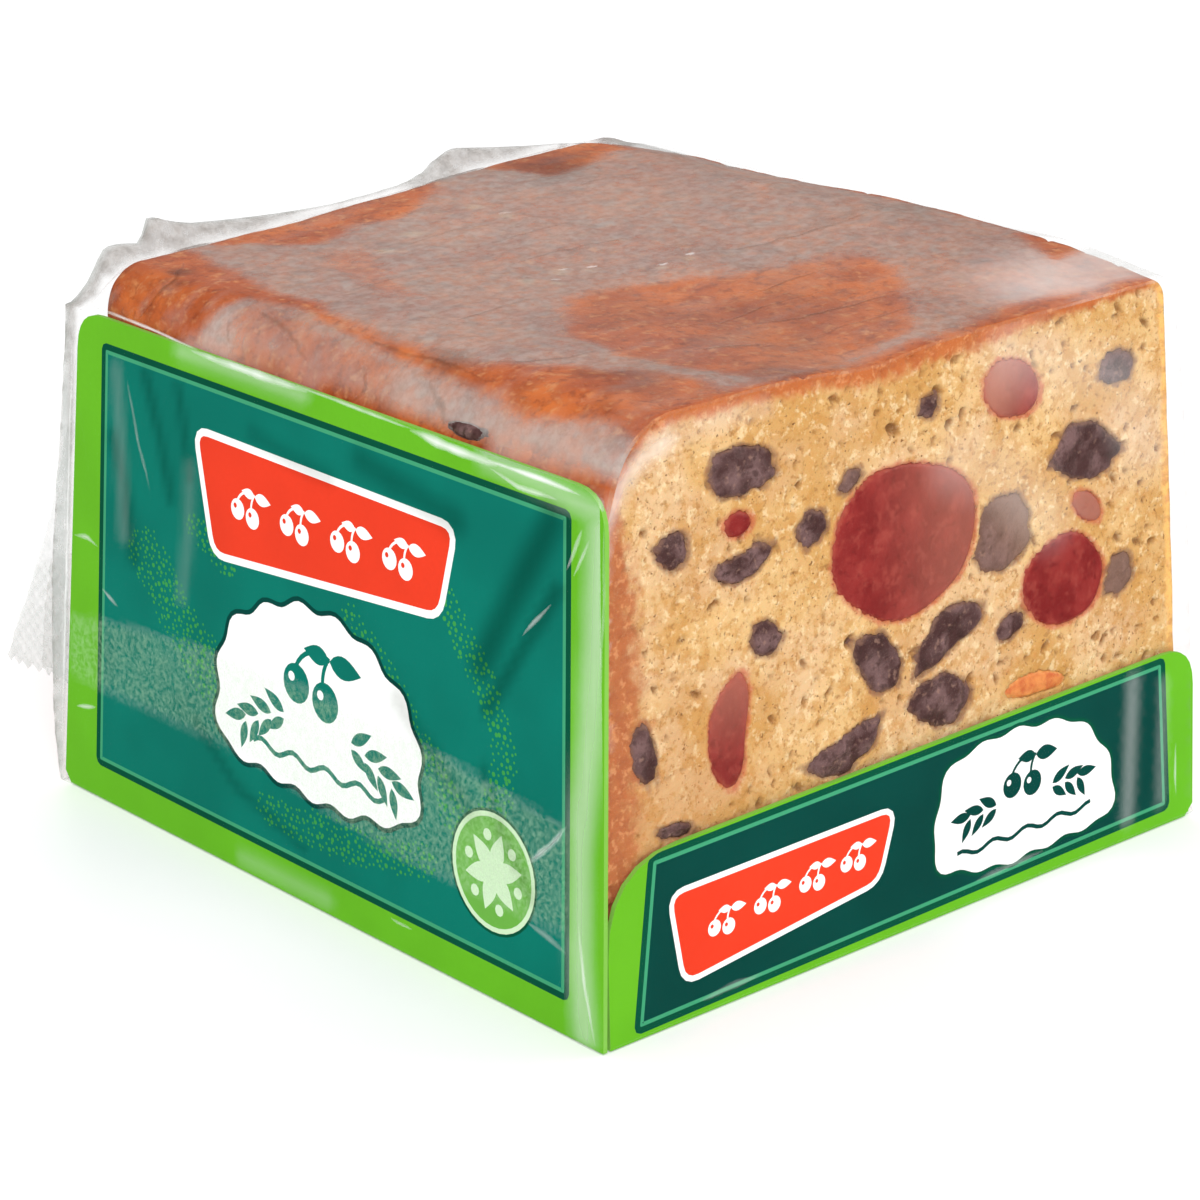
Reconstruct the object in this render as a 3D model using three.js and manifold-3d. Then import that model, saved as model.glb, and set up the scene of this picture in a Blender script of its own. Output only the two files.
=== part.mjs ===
// A block of fruit cake in its shop wrapping: the cake, the fruit that its cut face shows,
// the folded card that it stands on, and the sealed end of its clear film.
//
// Millimetres, +Z up. The origin is the middle of the card's underside. The cut face looks
// along -Y, the card's tall side panel stands at -X, and the film is sealed at +Y.

import * as THREE from 'three';
import { mergeVertices } from 'three/addons/utils/BufferGeometryUtils.js';
import Module from 'manifold-3d';

const wasm = await Module();
wasm.setup();

const { degToRad, lerp, smoothstep } = THREE.MathUtils;

// ---------------------------------------------------------------- driving dimensions

const GAP = 0.3;                        // clear space between neighbouring pieces
const LEAN = Math.tan(degToRad(2));     // upright faces lean in by this much per mm of height
const BARE_LEAN = Math.tan(degToRad(4.5));    // the cake's side away from the panel leans more

const CARD = { left: -42, right: 42, front: -43, back: 43.4, thickness: 0.5 };
const PANEL = { height: 53.4, corner: 4, backOverhang: 1, backLean: Math.tan(degToRad(4.5)), chamfer: 1.2 };
const LIP = { height: 18.6, rise: 1.2, inset: 0.9, nearCorner: 9, farCorner: 4.5, chamfer: 1.2 };

const CAKE = {
  left: CARD.left + CARD.thickness + GAP,
  right: 40.7,
  front: CARD.front + CARD.thickness + GAP,
  back: 42,
  bottom: CARD.thickness + GAP,
  top: 59.1,
  leftRadius: 8.5,                      // round top edge over the side panel, at the cut face
  leftRadiusBack: 4.5,                  // and where it meets the back
  rightRadius: 2.2,
  bottomRadius: 1.2,
  backLeftRadius: 6,                    // the two upright edges of the baked end
  backRightRadius: 14,
  backTopRadius: 4,
  bulge: 2,                             // of the bare side, half way along and near the top
};
// The top crust swells towards +X as it runs back from the cut face, and drops to the far corner.
const CROWN = { run: 75, mean: 0.75, swing: 1.9, spread: 30 };
const FAR_CORNER = { from: 28, to: 40, drop: 2 };
// A low arch along the bare side, from the cut face to past the middle.
const ARCH = { height: 1.35, start: -46, full: -28, fall: -14, end: 24, inner: 8, outer: 40 };
const DIP = { depth: 0.8, x: -5, width: 7 };

// The film end: how far its back face stands behind the cake, from the floor up.
const FILM = {
  bottom: 0.35,
  left: -42.2,
  right: 41.6,
  inner: 38,                            // how far in the filled end reaches behind the back edge
  topStart: 36,                         // where the film lifts off the top crust
  lift: 0.7,
  depth: 7,                             // of the filled end under the crust, at its start
  sink: 1.2,                            // of the fold below the crust's height, but at the ears
  corner: 4.2,                          // how far the fold drops to the upright corners
  fold: [[42.6, -1.6, 1], [41.6, 0, 1], [39.8, 1.3, 0.7]],     // (y, rise, share of the ears)
  slack: 1.2,                           // how much further back it stands between the corners
  back: [[45.2, 0.35], [45.8, 4.5], [46.2, 10], [46.2, 17], [45.6, 26], [43.9, 38], [42.2, 50]],
};
// Folds that stand up where the film turns over the back edge: steep at one end, fading at the other.
const EARS = [
  { from: -38, rise: 3, to: -24, height: 2.2 },
  { from: -31, rise: 1.5, to: -4, height: 2.8 },
  { from: 5, rise: 7, to: 28, height: 2.5 },
];
// The crimped seal is folded down over the back; its two ends stick out as flaps.
const SEAL = { y: 47, top: 24.5, bottom: 10.5, stand: 3, thickness: 0.9, teeth: 24, toothDepth: 0.7 };
const FLAP = {
  edge: [[55.9, 10.5], [49.4, 24.3], [47.3, 28.8], [43.8, 40.7], [41.6, 51]],   // (y, z), from the foot up
  inner: 45,
  thickness: 0.9,
};

// Fruit on the cut face: centre (x, z), half its length and half its width, and its slope
// in degrees. Each goes about as deep into the cake as the mean of the two.
const CHERRIES = [
  { x: -1.1, z: 40.0, long: 10.0, wide: 8.1, slope: -5 },
  { x: 21.9, z: 30.6, long: 6.4, wide: 4.8, slope: -10 },
  { x: 13.7, z: 52.1, long: 4.6, wide: 3.0, slope: -23 },
  { x: -24.2, z: 26.7, long: 5.8, wide: 2.7, slope: 83 },
  { x: -23.2, z: 46.6, long: 2.0, wide: 1.4, slope: -5 },
  { x: 25.2, z: 37.6, long: 2.8, wide: 1.5, slope: -37 },
];
const RAISINS = [
  { x: -22.7, z: 51.6, long: 4.5, wide: 2.6, slope: -12 },
  { x: -22.6, z: 42.9, long: 4.0, wide: 1.5, slope: 12 },
  { x: -31.4, z: 45.9, long: 2.3, wide: 1.8, slope: -16 },
  { x: -13.7, z: 44.1, long: 2.2, wide: 1.9, slope: 4 },
  { x: -19.8, z: 34.7, long: 2.4, wide: 1.8, slope: -16 },
  { x: 12.6, z: 37.6, long: 4.5, wide: 4.0, slope: -28 },
  { x: 24.8, z: 43.4, long: 5.2, wide: 3.1, slope: -19 },
  { x: 30.2, z: 29.3, long: 2.5, wide: 2.2, slope: 18 },
  { x: 29.2, z: 51.2, long: 2.8, wide: 2.0, slope: -6 },
  { x: 2.1, z: 52.6, long: 1.7, wide: 1.2, slope: 15 },
  { x: -4.8, z: 28.6, long: 4.1, wide: 2.6, slope: -40 },
  { x: 5.0, z: 28.8, long: 5.2, wide: 2.4, slope: 24 },
  { x: 4.0, z: 22.4, long: 4.6, wide: 2.8, slope: -9 },
  { x: 14.0, z: 27.6, long: 2.2, wide: 1.5, slope: 18 },
  { x: -9.2, z: 20.9, long: 5.4, wide: 2.0, slope: 13 },
  { x: -35.3, z: 27.3, long: 3.4, wide: 1.6, slope: -82 },
  { x: -31.7, z: 18.9, long: 2.6, wide: 0.9, slope: -8 },
  { x: -8.6, z: 47.6, long: 1.9, wide: 1.1, slope: 24 },
];
const PEEL = { x: 17.7, z: 20.4, long: 5.0, wide: 1.3, slope: -4 };
// One raisin shows in the side crust, just above the panel.
const SIDE_RAISIN = { y: -20.5, z: 53.9, inset: 1.37, long: 3.7, wide: 0.9, deep: 1.1 };

// ---------------------------------------------------------------- solids

/** A closed three.js geometry as a manifold solid. */
function toSolid(geometry) {
  const bare = geometry.index ? geometry.toNonIndexed() : geometry.clone();
  bare.deleteAttribute('normal');
  bare.deleteAttribute('uv');
  const merged = mergeVertices(bare, 1e-4);
  return new wasm.Manifold(new wasm.Mesh({
    numProp: 3,
    vertProperties: new Float32Array(merged.attributes.position.array),
    triVerts: new Uint32Array(merged.index.array),
  }));
}

/** The largest body of a solid: a cut can leave loose scraps. */
function largestBody(solid) {
  return solid.decompose().reduce((best, body) => (body.volume() > best.volume() ? body : best));
}

/** A solid as a named three.js mesh. */
function toMesh(name, solid, material) {
  const { vertProperties, triVerts } = largestBody(solid).getMesh();
  const geometry = new THREE.BufferGeometry();
  geometry.setAttribute('position', new THREE.BufferAttribute(new Float32Array(vertProperties), 3));
  geometry.setIndex(new THREE.BufferAttribute(new Uint32Array(triVerts), 1));
  geometry.computeVertexNormals();
  const mesh = new THREE.Mesh(geometry, material);
  mesh.name = name;
  return mesh;
}

/** A closed skin over rings of points, all of the same length, with both ends filled. */
function loft(rings, firstCentre, lastCentre) {
  const points = [...rings.flat(), firstCentre, lastCentre];
  const perRing = rings[0].length;
  const first = rings.length * perRing;
  const index = [];
  for (let i = 0; i < perRing; i++) {
    const next = (i + 1) % perRing;
    for (let ring = 0; ring + 1 < rings.length; ring++) {
      const a = ring * perRing + i;
      const b = ring * perRing + next;
      index.push(a, b, a + perRing, b, b + perRing, a + perRing);
    }
    const end = (rings.length - 1) * perRing;
    index.push(first, next, i);
    index.push(first + 1, end + i, end + next);
  }
  const geometry = new THREE.BufferGeometry().setFromPoints(points);
  geometry.setIndex(index);
  return toSolid(geometry);
}

/** A flat outline pushed through a thickness, each point then moved by place(point). */
function plate(shape, thickness, place) {
  const options = { depth: thickness, bevelEnabled: false, curveSegments: 6 };
  const geometry = new THREE.ExtrudeGeometry(shape, options);
  const positions = geometry.attributes.position;
  const point = new THREE.Vector3();
  for (let i = 0; i < positions.count; i++) {
    point.fromBufferAttribute(positions, i);
    place(point);
    positions.setXYZ(i, point.x, point.y, point.z);
  }
  return toSolid(geometry);
}

/** An outline through points, with a round corner of the given radius at each. */
function roundedOutline(corners) {
  const shape = new THREE.Shape();
  corners.forEach(([x, y, radius = 0], i) => {
    const corner = new THREE.Vector2(x, y);
    const neighbour = (step) => new THREE.Vector2(...corners.at((i + step) % corners.length));
    const towards = (step) => corner.clone().add(neighbour(step).sub(corner).setLength(radius));
    const start = towards(-1);
    const end = towards(1);
    if (i === 0) shape.moveTo(start.x, start.y);
    else shape.lineTo(start.x, start.y);
    if (radius > 0) shape.quadraticCurveTo(x, y, end.x, end.y);
  });
  shape.closePath();
  return shape;
}

// ---------------------------------------------------------------- the folded card

function cardTray(grow = 0) {
  const t = CARD.thickness + 2 * grow;
  const rise = PANEL.height * LEAN;
  const base = roundedOutline([
    [CARD.left - grow, CARD.front - grow],
    [CARD.right + grow, CARD.front - grow],
    [CARD.right + grow, CARD.back + grow],
    [CARD.left - grow, CARD.back + grow],
  ]);
  const backFoot = CARD.back + PANEL.backOverhang + grow;
  const side = roundedOutline([
    [CARD.front - grow, -grow],
    [CARD.back + grow, -grow],
    [backFoot, PANEL.chamfer],
    [backFoot - PANEL.height * PANEL.backLean, PANEL.height + grow, PANEL.corner],
    [CARD.front + rise - grow, PANEL.height + grow, PANEL.corner],
  ]);
  const lipLeft = CARD.left + LIP.inset;
  const lip = roundedOutline([
    [lipLeft - grow, -grow],
    [CARD.right + grow - LIP.chamfer, -grow],
    [CARD.right + grow, LIP.chamfer],
    [CARD.right - LIP.height * LEAN + grow, LIP.height + LIP.rise / 2 + grow, LIP.farCorner],
    [lipLeft - grow, LIP.height - LIP.rise / 2 + grow, LIP.nearCorner],
  ]);
  return [
    plate(base, t, (p) => p.set(p.x, p.y, p.z - grow)),
    plate(side, t, (p) => p.set(CARD.left - grow + p.y * LEAN + p.z, p.x, p.y)),
    plate(lip, t, (p) => p.set(p.x, CARD.front - grow + t + p.y * LEAN - p.z, p.y)),
  ].reduce((all, piece) => all.add(piece));
}

// ---------------------------------------------------------------- the cake

function cakeTop(x, y) {
  const back = smoothstep(y, CAKE.front, CAKE.front + CROWN.run);
  const swell = CROWN.mean + CROWN.swing * Math.tanh(x / CROWN.spread);
  const corner = FAR_CORNER.drop * smoothstep(x, FAR_CORNER.from, FAR_CORNER.to);
  const dip = DIP.depth * Math.exp(-(((x - DIP.x) / DIP.width) ** 2));
  const along = smoothstep(y, ARCH.start, ARCH.full) * (1 - smoothstep(y, ARCH.fall, ARCH.end));
  const arch = ARCH.height * along * smoothstep(x, ARCH.inner, ARCH.outer);
  return CAKE.top + back * (swell - corner) - (1 - back) * dip + arch;
}

/** How far a round edge has come in, at a distance into the last `radius` before the end. */
function roundedIn(distance, radius) {
  const into = Math.min(Math.max(distance, 0), radius);
  return radius - Math.sqrt(radius * radius - into * into);
}

/** The cake's outline across X and Z at a distance back from the cut face. */
function cakeRing(y, grow) {
  const cornerIn = (radius) => roundedIn(y - (CAKE.back + grow - radius), radius);
  const drop = cornerIn(CAKE.backTopRadius);
  const left = CAKE.left + cornerIn(CAKE.backLeftRadius) - grow;
  const right = CAKE.right - cornerIn(CAKE.backRightRadius) + grow;
  const bottom = CAKE.bottom + 0.3 * drop - grow;
  const top = (x) => cakeTop(x, y) - drop + grow;
  const ring = [];
  const bulge = CAKE.bulge * smoothstep(y, CAKE.front, 0);
  const add = (x, z) => {
    const inward = lerp(LEAN, -LEAN, (y - CAKE.front) / (CAKE.back - CAKE.front));
    const across = (x - left) / (right - left);
    const sideways = z * lerp(LEAN, -BARE_LEAN, across) + bulge * across * (0.4 + 0.6 * z / CAKE.top);
    ring.push(new THREE.Vector3(x + sideways, y + z * inward, z));
  };
  const corner = (sign, radius, height, from, to, steps) => {
    const centre = sign < 0 ? left + radius : right - radius;
    for (let i = 0; i <= steps; i++) {
      const angle = degToRad(lerp(from, to, i / steps));
      const x = centre + radius * Math.cos(angle);
      add(x, height(x) + radius * Math.sin(angle));
    }
  };
  const { rightRadius, bottomRadius } = CAKE;
  const leftRadius = lerp(CAKE.leftRadius, CAKE.leftRadiusBack, smoothstep(y, -10, 34));
  corner(-1, bottomRadius, () => bottom + bottomRadius, 270, 180, 2);
  for (let i = 1; i < 4; i++) add(left, lerp(bottom, top(left), i / 4.6));
  corner(-1, leftRadius, (x) => top(x) - leftRadius, 180, 90, 6);
  for (let i = 1; i < 12; i++) {
    const x = lerp(left + leftRadius, right - rightRadius, i / 12);
    add(x, top(x));
  }
  corner(1, rightRadius, (x) => top(x) - rightRadius, 90, 0, 4);
  for (let i = 3; i > 0; i--) add(right, lerp(bottom, top(right), i / 4.4));
  corner(1, bottomRadius, () => bottom + bottomRadius, 360, 270, 2);
  return ring;
}

function cakeBlock(grow = 0) {
  const front = CAKE.front - grow;
  const back = CAKE.back + grow;
  const stations = [];
  const endLength = CAKE.backRightRadius;
  for (let i = 0; i < 7; i++) stations.push(lerp(front, back - endLength, i / 7));
  for (let i = 0; i <= 8; i++) stations.push(back - endLength + endLength * Math.sin(degToRad(i * 10.5)));
  const rings = stations.map((y) => cakeRing(y, grow));
  const centre = (ring) => ring.reduce((sum, p) => sum.add(p), new THREE.Vector3()).divideScalar(ring.length);
  return loft(rings, centre(rings[0]), centre(rings.at(-1)));
}

// ---------------------------------------------------------------- the fruit

function ellipsoid(size, grow) {
  const round = Math.max(...size) > 3;
  const blob = new THREE.SphereGeometry(1, round ? 14 : 10, round ? 8 : 6);
  blob.scale(...size.map((half) => half + grow));
  return blob;
}

/** A fruit, grown on all sides, that straddles the cut face. */
function cutFruit({ x, z, long, wide, slope }, grow) {
  const blob = ellipsoid([long, (long + wide) / 2, wide], grow);
  blob.rotateY(-degToRad(slope));
  blob.translate(x, CAKE.front + z * LEAN, z);
  return toSolid(blob);
}

function sideRaisin({ y, z, inset, long, wide, deep }, grow) {
  const blob = ellipsoid([deep, long, wide], grow);
  blob.translate(CAKE.left + z * LEAN + inset, y, z);
  return toSolid(blob);
}

// ---------------------------------------------------------------- the film's sealed end

function earHeight(x) {
  const share = ({ from, rise, to }) => {
    const fade = Math.min(Math.max((to - x) / (to - from - rise), 0), 1);
    return smoothstep(x, from, from + rise) * fade ** 1.3;
  };
  return EARS.reduce((sum, ear) => sum + ear.height * share(ear), 0);
}

/** The film end's outline across Y and Z at one place along X. */
function filmRing(x) {
  const middle = 1 - smoothstep(Math.abs(x), 30, 42);
  const drop = FILM.corner * (1 - middle) ** 2;
  const ear = earHeight(x);
  const crest = cakeTop(x, CAKE.back) - FILM.sink - drop;
  const profile = [
    [FILM.inner, FILM.bottom],
    ...FILM.back.map(([y, z]) => [y + FILM.slack * middle * smoothstep(z, 15, 35), z]),
    ...FILM.fold.map(([y, rise, share]) => [y, crest + rise + share * ear]),
    [FILM.topStart, cakeTop(x, FILM.topStart) - drop + FILM.lift],
    [FILM.topStart, cakeTop(x, FILM.topStart) - FILM.depth],
    [FILM.inner, 45],
  ];
  return profile.map(([y, z]) => new THREE.Vector3(x * (1 - z * LEAN / FILM.right), y, z));
}

function filmSkin() {
  const steps = 28;
  const rings = [];
  for (let i = 0; i <= steps; i++) rings.push(filmRing(lerp(FILM.left, FILM.right, i / steps)));
  const centre = (ring) => new THREE.Vector3(ring[0].x, CAKE.back - 2, 30);
  return loft(rings, centre(rings[0]), centre(rings.at(-1)));
}

/** The crimped band: a strip along X with teeth cut along its lower edge. */
function sealBand() {
  const outline = new THREE.Shape();
  outline.moveTo(FILM.left + 1, SEAL.top);
  const tooth = (FILM.right - FILM.left - 2) / SEAL.teeth;
  for (let i = 0; i <= SEAL.teeth; i++) {
    const x = FILM.left + 1 + i * tooth;
    outline.lineTo(x, SEAL.bottom + SEAL.toothDepth);
    if (i < SEAL.teeth) outline.lineTo(x + tooth / 2, SEAL.bottom);
  }
  outline.lineTo(FILM.right - 1, SEAL.top);
  outline.closePath();
  const slope = SEAL.stand / (SEAL.top - SEAL.bottom);
  return plate(outline, SEAL.thickness, (p) => p.set(p.x, SEAL.y + (SEAL.top - p.y) * slope - p.z, p.y));
}

/** One end of the seal, which sticks out behind the corner as a flat flap. */
function sealFlap(x, reach) {
  const [, bottom] = FLAP.edge[0];
  const [topY, topZ] = FLAP.edge.at(-1);
  const outline = new THREE.Shape();
  outline.moveTo(FLAP.inner, bottom);
  for (const [y, z] of FLAP.edge) outline.lineTo(y < FLAP.inner ? y : lerp(FLAP.inner, y, reach), z);
  outline.lineTo(topY - 1.2, topZ);
  outline.closePath();
  const lean = -Math.sign(x) * LEAN;
  return plate(outline, FLAP.thickness, (p) => p.set(x + p.y * lean - FLAP.thickness / 2 + p.z, p.x, p.y));
}

// ---------------------------------------------------------------- finishes

const standard = (color, roughness, extra = {}) =>
  new THREE.MeshStandardMaterial({ color, roughness, metalness: 0, ...extra });

const finishes = {
  cake: () => standard(0xe6bd7c, 0.85),
  card: () => standard(0x66b22e, 0.45),
  film: () => standard(0xe9ebee, 0.2, { transparent: true, opacity: 0.5 }),
  cherry: () => standard(0xa02c30, 0.35),
  raisin: () => standard(0x4a3440, 0.6),
  peel: () => standard(0xd9702e, 0.45),
};

// ---------------------------------------------------------------- assembly

const pack = new THREE.Group();
pack.name = 'fruit_cake_pack';

const onTheCut = (kind) => (spot, i) =>
  ({ name: `${kind}_${i + 1}`, blob: (grow) => cutFruit(spot, grow), finish: finishes[kind] });
const fruit = [
  ...CHERRIES.map(onTheCut('cherry')),
  ...RAISINS.map(onTheCut('raisin')),
  ...[PEEL].map(onTheCut('peel')),
  { name: 'raisin_side', blob: (grow) => sideRaisin(SIDE_RAISIN, grow), finish: finishes.raisin },
];

// Each fruit is cut out of what the ones before it have left of the block.
let cake = cakeBlock();
for (const { name, blob, finish } of fruit) {
  pack.add(toMesh(name, cake.intersect(blob(0)), finish()));
  cake = cake.subtract(blob(GAP));
}
pack.add(toMesh('cake', cake, finishes.cake()));
pack.add(toMesh('card_tray', cardTray(), finishes.card()));

const filmEnd = [sealBand(), sealFlap(FILM.left + 1.2, 1), sealFlap(FILM.right - 1.2, 0.8)]
  .reduce((all, piece) => all.add(piece), filmSkin())
  .subtract(cakeBlock(GAP))
  .subtract(cardTray(GAP));
pack.add(toMesh('film_end', filmEnd, finishes.film()));

export default pack;
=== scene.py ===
# The looks of a shop-wrapped block of fruit cake: the crumb and crust, the fruit in the cut face,
# the printed card that it stands on, and the clear film round it all.
import math
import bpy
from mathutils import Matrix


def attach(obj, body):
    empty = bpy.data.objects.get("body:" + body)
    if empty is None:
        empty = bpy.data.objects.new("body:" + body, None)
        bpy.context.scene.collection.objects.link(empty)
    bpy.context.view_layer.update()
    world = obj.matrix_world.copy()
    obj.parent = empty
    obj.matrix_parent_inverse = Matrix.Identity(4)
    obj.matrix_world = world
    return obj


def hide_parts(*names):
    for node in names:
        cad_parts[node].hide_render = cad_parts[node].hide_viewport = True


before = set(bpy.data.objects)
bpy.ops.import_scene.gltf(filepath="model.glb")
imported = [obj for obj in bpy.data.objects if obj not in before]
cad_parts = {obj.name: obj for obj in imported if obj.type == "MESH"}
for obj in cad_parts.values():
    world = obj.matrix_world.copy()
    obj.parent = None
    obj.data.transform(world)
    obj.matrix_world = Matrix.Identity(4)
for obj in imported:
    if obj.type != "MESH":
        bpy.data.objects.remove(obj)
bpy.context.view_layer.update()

from types import SimpleNamespace as Sizes

import bmesh
import bpy
import numpy as np
from mathutils import Vector, geometry, kdtree

# ---------------------------------------------------------------- sizes, in millimetres

MM = 0.001
GAP = 0.3
LEAN = math.tan(math.radians(2))            # upright faces lean in by this much per mm of height
BARE_LEAN = math.tan(math.radians(4.5))     # the cake's side away from the panel leans more

CARD = Sizes(left=-42, right=42, front=-43, back=43.4, thickness=0.5)
PANEL = Sizes(height=53.4, corner=4, back_overhang=1, back_lean=BARE_LEAN, chamfer=1.2)
LIP = Sizes(height=18.6, rise=1.2, inset=0.9, near_corner=9, far_corner=4.5, chamfer=1.2)

CAKE = Sizes(
    left=CARD.left + CARD.thickness + GAP, right=40.7,
    front=CARD.front + CARD.thickness + GAP, back=42,
    bottom=CARD.thickness + GAP, top=59.1,
    left_radius=8.5, left_radius_back=4.5, right_radius=2.2, bottom_radius=1.2,
    back_left_radius=6, back_right_radius=14, back_top_radius=4, bulge=2)
CROWN = Sizes(run=75, mean=0.75, swing=1.9, spread=30)
FAR_CORNER = Sizes(start=28, end=40, drop=2)
ARCH = Sizes(height=1.35, start=-46, full=-28, fall=-14, end=24, inner=8, outer=40)
DIP = Sizes(depth=0.8, x=-5, width=7)

# The film: how far it stands off what it wraps (off), the Y of its top at both ends (top_run), how steeply
# it comes up from the panel (bridge), and where and how far it sinks towards the back (sinking, sink).
FILM = Sizes(
    off=0.18, underside=-0.1, fold=0.5, top_run=(-40.4, 42.1), slack=1.2, corner=4.2, bridge=2.2,
    sink=1.2, sinking=(36.3, 39.5))
FILM_SIDE = Sizes(x=42.1, lean=0.05, edge=57, pull=((-43, 0, 45), (1.7, 1.15, 0.8)))
FILM_BACK = (
    (45.2, -0.1), (45.8, 4.5), (46.2, 10), (46.2, 17), (45.6, 26), (43.9, 38), (42.4, 50), (41.8, 64))
EARS = ((-38, 3, -24, 2.2), (-31, 1.5, -4, 2.8), (5, 7, 28, 2.5))      # from x, its rise, to x, height
SEAL = Sizes(left=-40.8, right=40.3, y=47, top=24.5, bottom=10.5, stand=3, pitch=3.375, tooth=0.9)
FLAP_EDGE = ((55.9, 10.5), (49.4, 24.3), (47.3, 28.8), (43.8, 40.7), (41.8, 50.6))
FLAP_INNER = 44.6

# Fruit on the cut face: x, z, half its length, half its width, slope in degrees, and how far
# its middle bends sideways.
CHERRIES = (
    (-1.1, 40.0, 10.0, 8.1, -5, 0),
    (21.9, 30.6, 6.4, 4.8, -10, 0),
    (13.7, 52.1, 4.6, 3.0, -23, 0),
    (-24.2, 26.7, 5.8, 2.7, 83, 1.3),
    (-23.2, 46.6, 2.0, 1.4, -5, 0),
    (25.2, 37.6, 2.8, 1.5, -37, 0),
)
RAISINS = (
    (-22.7, 51.6, 4.5, 2.6, -12, 0),
    (-22.6, 42.9, 4.0, 1.5, 12, -1.2),
    (-31.4, 45.9, 2.3, 1.8, -16, 0),
    (-13.7, 44.1, 2.2, 1.9, 4, 0),
    (-19.8, 34.7, 2.4, 1.8, -16, 0),
    (12.6, 37.6, 4.5, 4.0, -28, 0),
    (24.8, 43.4, 5.2, 3.1, -19, 0),
    (30.2, 29.3, 2.5, 2.2, 18, 0),
    (29.2, 51.2, 2.8, 2.0, -6, 0),
    (2.1, 52.6, 1.7, 1.2, 15, 0),
    (-4.8, 28.6, 4.1, 2.6, -40, 0),
    (5.0, 28.8, 5.2, 2.4, 24, 0.8),
    (4.0, 22.4, 4.6, 2.8, -9, 0),
    (14.0, 27.6, 2.2, 1.5, 18, 0),
    (-9.2, 20.9, 5.4, 2.0, 13, -0.8),
    (-35.3, 27.3, 3.4, 1.6, -82, 0),
    (-31.7, 18.9, 2.6, 0.9, -8, 0),
    (-8.6, 47.6, 1.9, 1.1, 24, 0),
)
PEELS = ((17.7, 20.4, 5.0, 1.3, -4, 0.4),)
SIDE_RAISIN = Sizes(y=-20.5, z=53.9, inset=1.37, long=3.7, wide=0.9, deep=1.1)

# Where the film clings to the top crust and is clear: how clear, and an outline of (x, y). On the round
# left edge, x counts on to the left by EDGE_RUN for each mm down.
EDGE_RUN = 0.57
CLUNG = (
    (1.0, ((-47, 24), (-46, 19.5), (-42, 20.5), (-39, 20), (-36.5, 17.6), (-35.3, 15.8), (-33, 15.2),
           (-31.9, 20.2), (-31.3, 25.7), (-30.3, 31.1), (-30, 46), (-47, 46))),
    (0.95, ((-28, 46), (-26, 35), (-18.5, 27.6), (-11.5, 29.3), (-7.4, 27.8), (-0.2, 31.6), (4, 34.8),
            (5, 46))),
    (1.0, ((-31.9, 20.2), (-32.8, 15.2), (-32.4, 11.2), (-33.2, 7.3), (-33.6, 2.4), (-34.3, -2.6),
           (-34.1, -7.3), (-34.6, -12), (-33.5, -18), (-27.2, -28.6), (-37.5, -21.6), (-36.9, -13),
           (-36.6, -7.6), (-35.5, -2.2), (-35, 2.8), (-35.2, 6.8), (-35.5, 10.7), (-36, 16.6))),
    (0.5, ((-39.5, 17), (-36.6, 15.3), (-36.7, 1.9), (-37.7, -6.6), (-41, -10.3), (-44, -0.6), (-43, 14))),
    (0.8, ((-42.6, 13), (-42.6, -0.5), (-44, -10), (-46, -10), (-46, 14))),
    (1.0, ((-33.3, -19.2), (-27.2, -28.6), (-34.8, -38), (-38.2, -31.2), (-38.5, -24.2))),
    (0.85, ((-31.7, -25.6), (-25, -29.1), (-23.6, -38.6), (-14.6, -39.4), (-0.6, -39.5), (16.6, -37.4),
            (26, -39.2), (43, -40), (43, -46), (-39, -46), (-37, -38.5))),
    (0.8, ((-0.4, -9.5), (4.1, -12.6), (8.4, -14), (13.9, -14.6), (17.5, -17.2), (16.7, -21.1),
           (12.5, -26.7), (3.6, -36.2), (-8.6, -39), (-19.9, -39), (-23.6, -25), (-22.6, -15.1),
           (-13.5, -6.5), (-6.8, -6.2))),
    (0.4, ((-21.5, 25), (-17, 21), (-21, 12), (-24, 5), (-27, 6), (-24.5, 14), (-22.5, 22))),
    (1.0, ((11.2, 46), (11.2, 35.3), (12.5, 33.2), (13.2, 29.8), (13.8, 28), (19.4, 27.6), (24, 30),
           (27.3, 28.9), (30, 46))),
    (0.9, ((36.4, 16), (41, 18), (41, -21), (36.4, -20))),
    (0.9, ((33.5, -22), (38, -30), (33.2, -30.9), (28.8, -31), (32.3, -23.7))),
)
# Pale crumbs and darker baked places on the crust: x, y, radius, strength.
CRUMBS = (
    (-4.7, 0.5, 0.9, 0.9), (0.8, -4, 0.7, 1), (4.9, -3.8, 0.8, 1), (1.2, 20.9, 1.0, 0.8),
    (-10.4, -0.5, 0.8, 0.8), (-12, 2, 1.2, 0.8), (-7.4, 1.9, 1.3, 0.8), (-15, 21, 1.5, 0.8),
    (-9, 23.6, 1.4, 0.8), (1.4, 26, 1.3, 0.8))
SCORCHED = (
    (-34.5, 30.5, 1.6, 0.6), (-36.9, 28.1, 1.2, 0.5), (24.2, -26.3, 1.2, 0.6), (17, 30, 7, 0.55),
    (33.5, -7, 5, 0.45), (-4, -24, 15, 0.22), (-26, -31, 6, 0.35), (-34.5, -13, 4.5, 0.5),
    (-15, -38, 6, 0.3))

rng = np.random.default_rng(20)      # draws the same numbers on each run


# ---------------------------------------------------------------- numbers

def lerp(a, b, t):
    return a + (b - a) * t


def smoothstep(x, low, high):
    t = np.clip((x - low) / (high - low), 0, 1)
    return t * t * (3 - 2 * t)


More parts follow.
